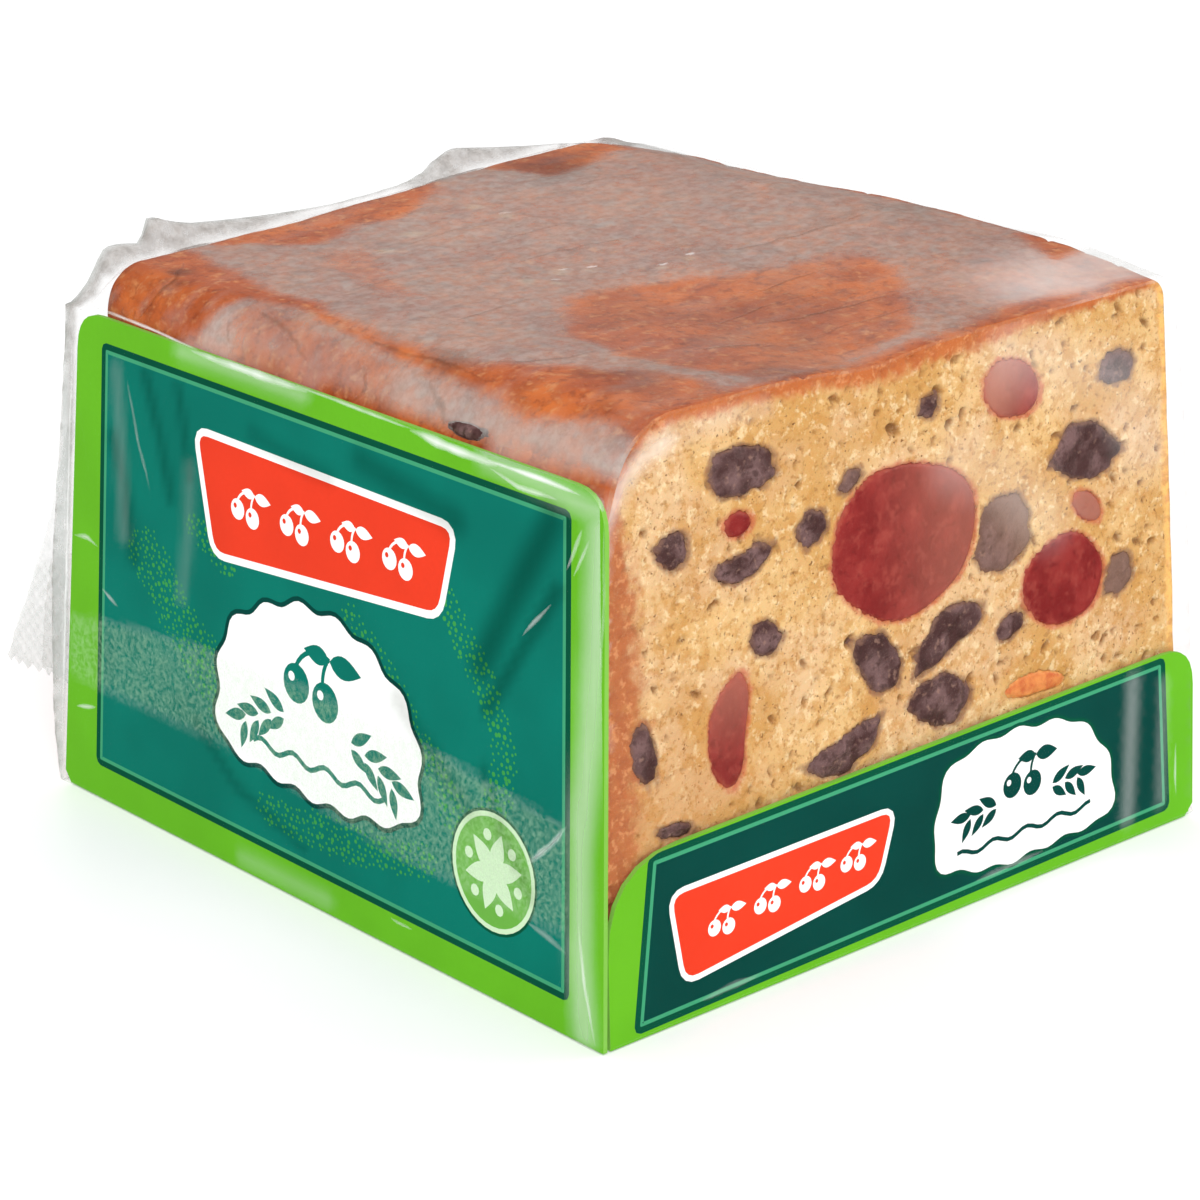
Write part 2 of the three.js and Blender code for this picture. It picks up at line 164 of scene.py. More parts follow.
def lattice(ix, iy, iz, seed):
    """A repeatable value from 0 to 1 for each point with whole coordinates."""
    h = (ix * 374761393 + iy * 668265263 + iz * 1442695041 + seed * 1013904223) & 0xFFFFFFFF
    h = ((h ^ (h >> 13)) * 1274126177) & 0xFFFFFFFF
    return ((h ^ (h >> 16)) & 0xFFFF) / 65535


def noise(points, size, seed):
    """Smooth noise from -1 to 1, with lumps of the given size."""
    scaled = np.asarray(points, float) / size
    cell = np.floor(scaled).astype(np.int64)
    f = scaled - cell
    f = f * f * (3 - 2 * f)
    total = 0
    for corner in range(8):
        step = np.array([corner & 1, corner >> 1 & 1, corner >> 2 & 1])
        weight = np.prod(np.where(step == 1, f, 1 - f), axis=-1)
        c = cell + step
        total = total + weight * lattice(c[..., 0], c[..., 1], c[..., 2], seed)
    return 2 * total - 1


def rough(points, size, octaves, seed):
    """Noise in several sizes, each half of the one before."""
    return sum(noise(points, size / 2 ** i, seed + i) / 2 ** i for i in range(octaves))


def inside(points, outline):
    """Which points lie in a closed outline."""
    x, y = points[:, 0], points[:, 1]
    result = np.zeros(len(points), bool)
    for (x0, y0), (x1, y1) in zip(outline, np.roll(outline, -1, axis=0)):
        if y0 != y1:
            crosses = (y0 > y) != (y1 > y)
            result ^= crosses & (x < (x1 - x0) * (y - y0) / (y1 - y0) + x0)
    return result


def depth_inside(points, outline):
    """How far inside a closed outline each point is, less than 0 outside it."""
    nearest = np.full(len(points), np.inf)
    for start, end in zip(outline, np.roll(outline, -1, axis=0)):
        run = end - start
        t = np.clip((points - start) @ run / (run @ run), 0, 1)
        nearest = np.minimum(nearest, np.linalg.norm(points - start - t[:, None] * run, axis=1))
    return np.where(inside(points, outline), nearest, -nearest)


def hex_grid(low, high, pitch, jitter):
    """Points of an even triangular grid over a rectangle, a little disordered."""
    rows = np.arange(low[1], high[1], pitch * math.sqrt(3) / 2)
    points = []
    for i, v in enumerate(rows):
        u = np.arange(low[0] + (i % 2) * pitch / 2, high[0], pitch)
        points.append(np.column_stack([u, np.full(len(u), v)]))
    points = np.concatenate(points)
    return points + rng.uniform(-jitter, jitter, points.shape) * pitch


def unit(vectors):
    return vectors / np.maximum(np.linalg.norm(vectors, axis=-1, keepdims=True), 1e-9)


def run_of(path):
    """How far along the path each of its points is."""
    return np.concatenate([[0], np.cumsum(np.linalg.norm(np.diff(path, axis=0), axis=1))])


def sampled(values, run, at):
    """The rows of values, which belong to places along a path, at other places along it."""
    return np.column_stack([np.interp(at, run, column) for column in values.T])


def tree_of(places):
    """A tree that finds the nearest of the places (a, b)."""
    tree = kdtree.KDTree(len(places))
    for i, (a, b) in enumerate(places):
        tree.insert((a, b, 0), i)
    tree.balance()
    return tree


# ---------------------------------------------------------------- meshes

def make_piece(name, points, faces, materials, face_material=None, smooth=True, values=None):
    """An object from points in mm. values holds named numbers, one for each point."""
    mesh = bpy.data.meshes.new(name)
    mesh.from_pydata((np.asarray(points) * MM).tolist(), [], [list(map(int, f)) for f in faces])
    for material in materials:
        mesh.materials.append(material)
    if face_material is not None:
        mesh.polygons.foreach_set("material_index", np.asarray(face_material, np.int32))
    for key, value in (values or {}).items():
        layer = mesh.attributes.new(key, "FLOAT", "POINT")
        layer.data.foreach_set("value", np.asarray(value, np.float32))
    mesh.polygons.foreach_set("use_smooth", np.full(len(mesh.polygons), smooth))
    mesh.validate()
    mesh.update()
    piece = bpy.data.objects.new(name, mesh)
    bpy.context.scene.collection.objects.link(piece)
    return piece


def wear(piece, nodes):
    """The piece rides on the pack and stands for those CAD nodes, which it hides."""
    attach(piece, "root")
    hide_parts(*nodes)


class Builder:
    """Gathers points, faces and values of several closed skins into one piece."""

    def __init__(self):
        self.points, self.faces, self.material, self.values = [], [], [], {}
        self.count = 0

    def add(self, points, faces, material=0, **values):
        points = np.asarray(points, float)
        self.points.append(points)
        self.faces += [[i + self.count for i in f] for f in faces]
        self.material += [material] * len(faces) if np.isscalar(material) else list(material)
        for key, value in values.items():
            self.values.setdefault(key, []).append(np.broadcast_to(value, len(points)))
        self.count += len(points)

    def build(self, name, materials, smooth=True):
        values = {key: np.concatenate(parts) for key, parts in self.values.items()}
        points = np.concatenate(self.points)
        return make_piece(name, points, self.faces, materials, self.material, smooth, values)


def grid_faces(rows, columns, closed=False, flip=False):
    """Quads of a grid of points, numbered row by row. A closed grid joins its last row to its first."""
    a = np.arange(rows if closed else rows - 1)[:, None]
    b = np.arange(columns - 1)[None, :]
    near = a * columns + b
    far = (a + 1) % rows * columns + b
    quads = np.stack([near, far, far + 1, near + 1], axis=-1).reshape(-1, 4)
    return (quads[:, ::-1] if flip else quads).tolist()


def body_faces(around, columns, flip=False):
    """Faces of a closed grid, and fans that close its ends round two more points after the grid's own."""
    faces = grid_faces(around, columns, closed=True, flip=flip)
    tip = around * columns
    for i in range(around):
        a, b = (i, (i + 1) % around) if flip else ((i + 1) % around, i)
        faces.append([tip, a * columns, b * columns])
        faces.append([tip + 1, (b + 1) * columns - 1, (a + 1) * columns - 1])
    return faces


def ring_edges(count, start=0):
    """The edges of a closed outline whose points are numbered from start."""
    return [(start + i, start + (i + 1) % count) for i in range(count)]


def fill(outline, places, edges, join):
    """The triangles between the places that lie in the outline, with each edge kept: the points, the
    triangles and their middles. Places closer than join become one."""
    coords = [Vector(p) for p in places]
    points, _, faces, *_ = geometry.delaunay_2d_cdt(coords, edges, [], 0, join, False)
    points = np.array([tuple(p) for p in points])
    faces = np.array([f for f in faces if len(f) == 3])
    middle = points[faces].mean(axis=1)
    keep = inside(middle, outline)
    return points, faces[keep], middle[keep]


def nearest_on(outline):
    """A function that finds each point's nearest point of the outline: its number and its distance."""
    tree = tree_of(outline)

    def find(points):
        found = np.array([tree.find((a, b, 0))[1:] for a, b in points])
        return found[:, 0].astype(int), found[:, 1]
    return find


def cap(outline, pitch, jitter, margin=0.0, clear=0.0):
    """A filled outline with points inside it, clear of its edge: the points, the triangles, and for each
    point the number of the outline's nearest point and its distance."""
    grid = hex_grid(outline.min(axis=0) + margin, outline.max(axis=0) - margin, pitch, jitter)
    grid = grid[inside(grid, outline)]
    find = nearest_on(outline)
    places = np.concatenate([outline, grid[find(grid)[1] > clear]])
    points, faces, _ = fill(outline, places, ring_edges(len(outline)), 1e-6)
    return points, faces, *find(points)


def join_doubles(piece):
    """Closes the seams between the skins of one piece."""
    mesh = bmesh.new()
    mesh.from_mesh(piece.data)
    bmesh.ops.remove_doubles(mesh, verts=mesh.verts, dist=0.004 * MM)
    bmesh.ops.recalc_face_normals(mesh, faces=mesh.faces)
    mesh.to_mesh(piece.data)
    mesh.free()


# ---------------------------------------------------------------- the cake's form

def rounded_in(distance, radius):
    """How far a round edge has come in, at a distance into the last radius before the end."""
    into = np.clip(distance, 0, radius)
    return radius - np.sqrt(radius * radius - into * into)


def cake_top(x, y):
    back = smoothstep(y, CAKE.front, CAKE.front + CROWN.run)
    swell = CROWN.mean + CROWN.swing * np.tanh(x / CROWN.spread)
    corner = FAR_CORNER.drop * smoothstep(x, FAR_CORNER.start, FAR_CORNER.end)
    dip = DIP.depth * np.exp(-(((x - DIP.x) / DIP.width) ** 2))
    along = smoothstep(y, ARCH.start, ARCH.full) * (1 - smoothstep(y, ARCH.fall, ARCH.end))
    arch = ARCH.height * along * smoothstep(x, ARCH.inner, ARCH.outer)
    return CAKE.top + back * (swell - corner) - (1 - back) * dip + arch


def left_radius(y):
    """The round top edge over the side panel."""
    return lerp(CAKE.left_radius, CAKE.left_radius_back, smoothstep(y, -10, 34))


def cake_bulge(y):
    return CAKE.bulge * smoothstep(y, CAKE.front, 0)


def cake_side(z, y):
    """The X of the bare side."""
    return CAKE.right - z * BARE_LEAN + cake_bulge(y) * (0.4 + 0.6 * z / CAKE.top)


def stacked(spots, y):
    """The x and the z of the spots round a section, for each y."""
    return [np.stack([np.broadcast_to(spot[i], y.shape) for spot in spots]) for i in (0, 1)]


def cake_sections(y):
    """Rings round the cake's section at each y, as points[round, along, xyz]. They run from the
    lower left corner up the left side, over the top, down the right side and back underneath."""
    left = CAKE.left + rounded_in(y - (CAKE.back - CAKE.back_left_radius), CAKE.back_left_radius)
    right = CAKE.right - rounded_in(y - (CAKE.back - CAKE.back_right_radius), CAKE.back_right_radius)
    drop = rounded_in(y - (CAKE.back - CAKE.back_top_radius), CAKE.back_top_radius)
    bottom = CAKE.bottom + 0.3 * drop
    spots = []

    def top(x):
        return cake_top(x, y) - drop

    def corner(centre, radius, height, start, end, steps):
        for angle in np.radians(np.linspace(start, end, steps)):
            x = centre + radius * math.cos(angle)
            spots.append((x, height(x) + radius * math.sin(angle)))

    def straight(x0, z0, x1, z1, steps):
        for t in np.linspace(0, 1, steps + 2)[1:-1]:
            spots.append((lerp(x0, x1, t), lerp(z0, z1, t)))

    r0, r1, r2 = CAKE.bottom_radius, left_radius(y), CAKE.right_radius
    corner(left + r0, r0, lambda x: bottom + r0, 270, 180, 5)
    straight(left, bottom + r0, left, top(left) - r1, 58)
    corner(left + r1, r1, lambda x: top(x) - r1, 180, 90, 20)
    for t in np.linspace(0, 1, 104)[1:-1]:
        x = lerp(left + r1, right - r2, t)
        spots.append((x, top(x)))
    corner(right - r2, r2, lambda x: top(x) - r2, 90, 0, 10)
    straight(right, top(right) - r2, right, bottom + r0, 64)
    corner(right - r0, r0, lambda x: bottom + r0, 360, 270, 5)
    straight(right - r0, bottom, left + r0, bottom, 20)
    x, z = stacked(spots, y)
    across = (x - left) / (right - left)
    inward = lerp(LEAN, -LEAN, (y - CAKE.front) / (CAKE.back - CAKE.front))
    sideways = z * lerp(LEAN, -BARE_LEAN, across) + cake_bulge(y) * across * (0.4 + 0.6 * z / CAKE.top)
    return np.stack([x + sideways, y + z * inward, z], axis=-1)


def upright(x, y, z=CAKE.top):
    """Where a place near the top would be, in x and y, if the cake's sides did not lean and bulge."""
    pull = (CAKE.top * (LEAN + BARE_LEAN) - cake_bulge(y)) / (CAKE.right - CAKE.left)
    shrink = 2 * CAKE.top * LEAN / (CAKE.back - CAKE.front)
    rise = z * LEAN
    return (x - rise - CAKE.left * pull) / (1 - pull), (y - rise - CAKE.front * shrink) / (1 - shrink)


def crust_height(x, y):
    """How high the top crust is over a place."""
    return cake_top(*upright(x, y))


def grid_normals(points):
    """Unit normals of a closed grid of points, outwards for the cake's rings."""
    around = np.roll(points, -1, axis=0) - np.roll(points, 1, axis=0)
    along = np.gradient(points, axis=1)
    return unit(np.cross(around, along))


def on_crust(points):
    """Places on the top crust as (x, y), with x counted on over the round left edge."""
    x = points[..., 0] - EDGE_RUN * np.clip(CAKE.top - points[..., 2], 0, 12)
    return np.stack([x, points[..., 1]], axis=-1)


def cling(points):
    """How closely the film clings to the top crust, from 0 to 1."""
    spots = on_crust(points)
    wander = np.concatenate([spots, 0 * spots[..., :1]], axis=-1)
    spots = spots + 0.7 * np.stack([rough(wander, 5, 2, 11), rough(wander, 5, 2, 31)], axis=-1)
    flat = spots.reshape(-1, 2)
    total = np.zeros(len(flat))
    for clear, outline in CLUNG:
        depth = depth_inside(flat, np.array(outline, float))
        total = np.maximum(total, clear * smoothstep(depth, -1.2, 1.2))
    streaks = smoothstep(noise(points * np.array([0.25, 1, 1]), 1.6, 21), 0.0, 0.8)
    return total.reshape(points.shape[:-1]) * (1 - 0.25 * streaks)


def near_spots(points, spots):
    """1 in the middle of the nearest of some round spots on the crust, falling to 0 outside it."""
    places = on_crust(points)
    total = np.zeros(points.shape[:-1])
    for x, y, radius, strength in spots:
        distance = np.hypot(places[..., 0] - x, places[..., 1] - y) / radius
        distance = distance + 0.5 * rough(points, max(1.5, radius * 0.7), 3, 88)
        total = np.maximum(total, strength * (1 - smoothstep(distance, 0.2, 1.2)))
    return total * smoothstep(points[..., 2], 51, 57)


def crust_relief(points):
    """How far the crust is sunk below its smooth form, in mm, a little above it in places."""
    lumps = 0.05 + 0.10 * rough(points, 7, 3, 3)
    grain = 0.05 * rough(points, 1.7, 2, 8)
    stretched = points * np.array([0.18, 1.0, 1.0])
    folds = 1 - np.abs(noise(stretched, 3.4, 40) + 0.3 * noise(points, 2.2, 41))
    creases = 0.35 * smoothstep(folds, 0.93, 1.0) * smoothstep(points[..., 2], 50, 56)
    return np.clip(lumps + grain + creases, -0.08, 0.7)


# ---------------------------------------------------------------- the fruit's form

EMBEDDED = 0.3        # how far a fruit's cut face runs on under the crumb
EDGE_DIP = 0.5        # and how deep
CUT_IN = 0.12         # how far the cut face of a fruit lies under the crumb's
BACK_OFF = EDGE_DIP + 0.2
EDGE_BLUR = 1.1       # over how much of its edge a fruit takes on the crumb's colour


def outline_wobble(seed, amount, corners):
    """How an outline departs from its ellipse, as a function of the angle."""
    phase = np.random.default_rng(seed).uniform(0, 2 * math.pi, 12)
    sizes = np.random.default_rng(seed + 500).uniform(0.4, 1, 12)

    def wobble(angle):
        total = 1 + 0 * angle
        for k in range(2, 2 + corners):
            total = total + amount / k ** 0.7 * sizes[k % 12] * np.sin(k * angle + phase[k % 12])
        return total
    return wobble


class Fruit:
    """One fruit that the cut goes through."""

    def __init__(self, spot, seed, amount, corners):
        self.x, self.z, self.long, self.wide, slope, self.bend = spot
        self.cos, self.sin = math.cos(math.radians(slope)), math.sin(math.radians(slope))
        self.wobble = outline_wobble(seed, amount, corners)
        self.size = math.sqrt(self.long * self.wide)
        self.depth = (self.long + self.wide) / 2
        self.angles = np.linspace(0, 2 * math.pi, 97)
        self.reach = np.ones(97)
        self.seed = seed

    def clip(self, others):
        """Pulls the outline in where it would cross fruit that is already there."""
        for i, angle in enumerate(self.angles):
            while self.reach[i] > 0.3:
                x, z = self.place(np.array([angle]), np.array([1.0]))
                if all(other.radius(x, z)[0] > 1.03 for other in others):
                    break
                self.reach[i] -= 0.04

    def edge(self, angle):
        return self.wobble(angle) * np.interp(angle % (2 * math.pi), self.angles, self.reach)

    def place(self, angle, share):
        """The x and z at an angle and a share of the way out to the edge."""
        edge = self.edge(angle) * share
        a = self.long * edge * np.cos(angle)
        b = self.wide * edge * np.sin(angle) + self.bend * (0.5 - (a / self.long) ** 2)
        return self.x + a * self.cos - b * self.sin, self.z + a * self.sin + b * self.cos

    def radius(self, x, z):
        """The share of the way out to the edge at x and z."""
        dx, dz = x - self.x, z - self.z
        a = dx * self.cos + dz * self.sin
        b = dz * self.cos - dx * self.sin - self.bend * (0.5 - (a / self.long) ** 2)
        angle = np.arctan2(b / self.wide, a / self.long)
        return np.hypot(a / self.long, b / self.wide) / self.edge(angle)

    def distance(self, x, z):
        """How far outside the edge x and z are, in mm, less than 0 inside it."""
        return (self.radius(x, z) - 1) * self.size


# For each kind: the fruit, how uneven their outlines are and in how many waves, and the first one's seed.
FRUIT = {
    "cherry": (CHERRIES, 0.04, 5, 100), "raisin": (RAISINS, 0.12, 9, 200), "peel": (PEELS, 0.06, 4, 300)}


def lay_out_fruit():
    """Every fruit on the cut face by its kind, each clear of the ones before it."""
    kinds = {kind: [] for kind in FRUIT}
    placed = []
    for kind, (spots, amount, corners, seed) in FRUIT.items():
        for i, spot in enumerate(spots):
            fruit = Fruit(spot, seed + i, amount, corners)
            fruit.clip(placed)
            placed.append(fruit)
            kinds[kind].append(fruit)
    return kinds


def cut_plane(z):
    """The Y of the cut face."""
    return CAKE.front + z * LEAN


def add_fruit(builder, fruit, dome, wrinkle, tone):
    """A closed body: a slightly domed cut face that dips under the crumb at its edge, and the rest
    of the fruit inside the cake. tone(a, b) is its colour value at a share of its length and width."""
    around = int(np.clip(fruit.depth * 12, 40, 110))
    rings = int(np.clip(fruit.depth * 3.4, 8, 26))
    angle = np.linspace(0, 2 * math.pi, around, endpoint=False)
    widest = 1 + EMBEDDED / fruit.size
    shares = np.sin(np.linspace(0, math.pi / 2, rings + 1)[1:]) * widest
    rows, tones, edges = [], [], []

    def add_ring(share, behind, edge):
        x, z = fruit.place(angle, share)
        rows.append(np.stack([x, cut_plane(z) + behind, z], axis=-1))
        tones.append(tone(share * np.cos(angle), share * np.sin(angle)))
        edges.append(edge + 0 * angle)

    for share in shares:
        flat = np.stack([*fruit.place(angle, share), 0 * angle], axis=-1)
        bumps = wrinkle * rough(flat + fruit.seed, max(fruit.wide * 0.5, 0.9), 3, fruit.seed)
        dip = EDGE_DIP * smoothstep((share - 1) * fruit.size, -0.6, EMBEDDED)
        behind = CUT_IN - dome * (1 - share ** 2) + dip + bumps * (1 - 0.5 * share ** 4)
        add_ring(share, behind, 1 - smoothstep((1 - share) * fruit.size, 0, EDGE_BLUR))
    for share in shares[-2::-1] / widest:
        add_ring(share, BACK_OFF + fruit.depth * 0.94 * np.sqrt(1 - share ** 2), 1)
    columns = len(rows)
    x, z = (v[0] for v in fruit.place(np.array([0.0]), np.array([0.0])))
    ends = [[x, cut_plane(z) + CUT_IN - dome, z], [x, cut_plane(z) + BACK_OFF + fruit.depth * 0.94, z]]
    builder.add(
        np.vstack([np.stack(rows, axis=1).reshape(-1, 3), ends]), body_faces(around, columns),
        tone=np.concatenate([np.stack(tones, axis=1).ravel(), [tones[0][0], tones[-1][0]]]),
        edge=np.concatenate([np.stack(edges, axis=1).ravel(), [0, 1]]))


def even_tone(value):
    return lambda a, b: value + 0 * a


def shaded_tone(low, high, turn):
    """A tone that changes across the fruit, from low to high, towards an angle in degrees."""
    c, s = math.cos(math.radians(turn)), math.sin(math.radians(turn))
    return lambda a, b: lerp(low, high, smoothstep(a * c + b * s, -0.7, 0.9))


def add_side_raisin(builder):
    """The raisin that shows in the side crust, mostly sunk into it."""
    around, rings = 40, 14
    angle = np.linspace(0, 2 * math.pi, around, endpoint=False)[:, None]
    tilt = np.linspace(0, math.pi, rings + 2)[1:-1][None, :]
    x = SIDE_RAISIN.deep * np.cos(tilt) + 0 * angle
    y = SIDE_RAISIN.long * np.sin(tilt) * np.cos(angle)
    z = SIDE_RAISIN.wide * np.sin(tilt) * np.sin(angle)
    grid = np.stack([x, y, z], axis=-1)
    grid *= (1 - 0.2 * np.abs(rough(grid + 9, 1.3, 2, 77)))[..., None]
    ends = np.array([[SIDE_RAISIN.deep, 0, 0], [-SIDE_RAISIN.deep, 0, 0]]) * 0.94
    low = smoothstep(np.abs(grid[..., 1].ravel()), SIDE_RAISIN.long * 0.5, SIDE_RAISIN.long)
    middle = np.array([CAKE.left + SIDE_RAISIN.z * LEAN + SIDE_RAISIN.inset, SIDE_RAISIN.y, SIDE_RAISIN.z])
    builder.add(np.vstack([grid.reshape(-1, 3), ends]) + middle, body_faces(around, rings, flip=True),
                tone=0.0, edge=np.append(low, (0, 0)))


# ---------------------------------------------------------------- the cake's skin

CRUMB_PITCH = 0.36
# The crumb's colour is darkened in the holes, painted shade, and the finer ones are only specks of painted
# shade.
PORES = 520             # holes large enough to be a shape (the finer ones are specks of colour)
WIDE_PORES = 14
STAIN_REACH = {"cherry": 0.8, "raisin": 1.0, "peel": 0.5}      # how far each fruit colours the crumb
NO_CRUMB = {"pore": 0.0, "dark_stain": 0.0, "red_stain": 0.0}
# How wide the baked edge over the cut face is at each x.
RIM_OVER = ((-38, -32, -15, -5, 4, 11, 18, 27, 34), (2.5, 2.0, 2.4, 3.2, 3.3, 2.8, 2.0, 1.4, 1.2))


def pores_at(points):
    """Depth of the holes in the crumb, in mm, at each (x, z)."""
    depth = np.zeros(len(points))
    order = np.argsort(points[:, 0])
    sorted_x = points[order, 0]
    centres = rng.uniform((-42, 0), (41, 60), (PORES + WIDE_PORES, 2))
    small = 0.20 + 0.22 * rng.uniform(0, 1, PORES) ** 2
    sizes = np.concatenate([small, rng.uniform(0.4, 0.6, WIDE_PORES)])
    for (x, z), size in zip(centres, sizes):
        turn = rng.uniform(0, math.pi)
        stretch = rng.uniform(1, 2.6)
        reach = size * stretch
        low, high = np.searchsorted(sorted_x, (x - reach, x + reach))
        near = order[low:high]
        dx, dz = points[near, 0] - x, points[near, 1] - z
        a = (dx * math.cos(turn) + dz * math.sin(turn)) / (size * stretch)
        b = (dz * math.cos(turn) - dx * math.sin(turn)) / size
        hole = size * 1.1 * np.sqrt(np.clip(1 - a * a - b * b, 0, 1))
        depth[near] = np.maximum(depth[near], hole)
    return depth


def rim_width(x, z):
    """How wide the baked edge shows on the cut face, by the nearest point of the face's outline."""
    beside = np.where(x < 0, 6.5, 1.4)
    return lerp(beside, np.interp(x, *RIM_OVER), smoothstep(z, 38, 54))


def on_left(x):
    """1 where the baked edge belongs to the side over the panel."""
    return 1 - smoothstep(x, -39, -33)


def add_crust(builder):
    """The skin round the cake, as its grid of points[round, along, xyz]."""
    front_run = np.linspace(CAKE.front, CAKE.back - CAKE.back_right_radius, 92)
    angle = np.linspace(0, math.radians(84), 22)[1:]
    end_run = CAKE.back - CAKE.back_right_radius + CAKE.back_right_radius * np.sin(angle)
    shell = cake_sections(np.concatenate([front_run, end_run]))
    normal = grid_normals(shell)
    normal[:, 0, 1] = 0
    shell = shell - normal * crust_relief(shell)[..., None]
    points = shell.reshape(-1, 3)
    builder.add(
        points, grid_faces(*shell.shape[:2], closed=True, flip=True), rim=1.0, left=on_left(points[:, 0]),
        scorched=near_spots(points, SCORCHED), crumbs=near_spots(points, CRUMBS), **NO_CRUMB)
    return shell


def add_cut_face(builder, outline, kinds):
    """The crumb, with its pores and a hollow for each fruit."""
    flat, faces, nearest, distance = cap(outline, CRUMB_PITCH, 0.22, 0.2, CRUMB_PITCH * 0.7)
    at_edge = outline[nearest]
    x, z = flat[:, 0], flat[:, 1]
    solid = np.column_stack([flat, 0 * x])
    holes = pores_at(flat)
    depth = holes + np.clip(0.12 + 0.10 * rough(solid, 2.6, 3, 61) + 0.10 * rough(solid, 0.9, 2, 71), 0, 1)
    stains = {}
    for kind, halo in STAIN_REACH.items():
        stains[kind] = 0 * x
        for fruit in kinds[kind]:
            r = fruit.radius(x, z) / (1 - 0.35 / fruit.size)
            hollow = fruit.depth * np.sqrt(np.clip(1 - r * r, 0, 1)) + 0.8
            depth = np.where(r < 1, np.maximum(depth, hollow), depth)
            stains[kind] = np.maximum(stains[kind], 1 - smoothstep(fruit.distance(x, z), -0.3, halo))
    depth *= smoothstep(distance, 0, 0.8)
    rim = 1 - smoothstep(distance / rim_width(at_edge[:, 0], at_edge[:, 1]), 0.2, 1.1)
    # the crumb is darkened in its holes: painted shade
    builder.add(np.column_stack([x, cut_plane(z) + depth, z]), faces.tolist(), 1,
                pore=smoothstep(holes, 0.05, 0.4), rim=rim, left=on_left(at_edge[:, 0]),
                dark_stain=stains["raisin"], red_stain=stains["cherry"], scorched=0.0, crumbs=0.0)


def make_cake(kinds, materials):
    builder = Builder()
    shell = add_crust(builder)
    add_cut_face(builder, shell[:, 0, [0, 2]], kinds)

    # the baked back end
    flat, faces, nearest, distance = cap(shell[:, -1, [0, 2]], 1.2, 0.1)
    end = np.column_stack([flat[:, 0], shell[nearest, -1, 1], flat[:, 1]])
    end[:, 1] -= crust_relief(end) * smoothstep(distance, 0, 1.5)
    builder.add(end, faces[:, ::-1].tolist(), scorched=0.0, crumbs=0.0, rim=1.0, left=0.0, **NO_CRUMB)
    piece = builder.build("cake_body", materials)
    join_doubles(piece)
    return piece


# ---------------------------------------------------------------- the card

def rounded_outline(corners, steps=7):
    """An outline through corners (x, y, radius), each rounded as the CAD card's are."""
    points = []
    count = len(corners)
    for i, (x, y, radius) in enumerate(corners):
        here = np.array([x, y], float)
        if radius == 0:
            points.append(here)
            continue
        start = here + unit(np.array(corners[i - 1][:2]) - here) * radius
        end = here + unit(np.array(corners[(i + 1) % count][:2]) - here) * radius
        for t in np.linspace(0, 1, steps):
            points.append((1 - t) ** 2 * start + 2 * t * (1 - t) * here + t * t * end)
    return np.array(points)


def scaled(outline, grow):
    """An outline moved out by a distance (in if it is negative), or by one distance for each point."""
    ahead = unit(np.roll(outline, -1, axis=0) - outline)
    tangent = unit(ahead + np.roll(ahead, 1, axis=0))
    area = np.sum(outline[:, 0] * np.roll(outline[:, 1], -1) - np.roll(outline[:, 0], -1) * outline[:, 1])
    normal = np.column_stack([tangent[:, 1], -tangent[:, 0]]) * math.copysign(1, area)
    return outline + normal * np.reshape(grow, (-1, 1))


def arc(x, y, radius, start, end, steps):
    angle = np.radians(np.linspace(start, end, steps))
    return np.column_stack([x + radius * np.cos(angle), y + radius * np.sin(angle)])


def disc(x, y, radius, steps):
    return arc(x, y, radius, 0, 360, steps + 1)[:-1]


def turned(points, turn):
    c, s = math.cos(math.radians(turn)), math.sin(math.radians(turn))
    return points @ np.array([[c, s], [-s, c]])


def leaf(x, y, length, width, turn):
    """A pointed leaf that starts at x, y."""
    t = np.linspace(0, 1, 9)
    upper = np.column_stack([t * length, width / 2 * np.sin(math.pi * t ** 0.8)])
    return turned(np.vstack([upper, upper[-2:0:-1] * (1, -1)]), turn) + (x, y)


def stroke(points, width):
    """A line of some width through points, as an outline."""
    points = np.asarray(points, float)
    tangent = unit(np.gradient(points, axis=0))
    side = np.column_stack([-tangent[:, 1], tangent[:, 0]]) * width / 2
    return np.vstack([points + side, (points - side)[::-1]])


def cherry_pair(size, ink, paper, x, y, turn):
    """A simple motif at x, y: two cherries on their stalks, with two leaves."""
    shapes = [
        (stroke(arc(0.2, -0.1, 1.05, 150, 62, 9), 0.13), ink),
        (stroke(arc(1.5, 0.1, 1.15, 205, 142, 9), 0.13), ink),
        (disc(-0.72, 0.0, 0.52, 20), ink), (disc(0.42, -0.28, 0.52, 20), ink),
        (disc(-0.9, 0.16, 0.13, 10), paper), (disc(0.24, -0.12, 0.13, 10), paper),
        (leaf(0.68, 0.82, 1.25, 0.6, -8), ink), (leaf(0.66, 0.84, 1.0, 0.5, 172), ink)]
    return [(turned(shape * size, turn) + (x, y), tint) for shape, tint in shapes]


def scalloped(corners, lobes, depth):
    """A rounded outline with round lobes along its edge."""
    base = rounded_outline(corners, 9)
    closed = np.vstack([base, base[:1]])
    run = run_of(closed)
    t = np.linspace(0, run[-1], lobes * 8, endpoint=False)
    return scaled(sampled(closed, run, t), depth * (0.5 - 0.5 * np.cos(2 * math.pi * lobes * t / run[-1])))


# The colour of each ink, and how much of it is left where it is darkest.
INK_COLOURS = {
    "green": ((104, 184, 34), 0.93), "dark": ((0, 84, 60), 0.9), "key": ((64, 160, 116), 0.95),
    # The panel's teal is lighter than the lip's: the same ink under a painted reflection of the film's
    # haze.
    "teal": ((0, 120, 104), 0.86), "mid": ((58, 156, 74), 0.9), "red": ((236, 62, 34), 0.92),
    "white": ((250, 252, 250), 0.98), "pale": ((108, 176, 70), 0.93), "mint": ((206, 232, 194), 0.95),
    "board": ((128, 190, 76), 0.95), "back": ((206, 204, 196), 0.95), "lip_teal": ((0, 72, 64), 0.85)}
INKS = list(INK_COLOURS)


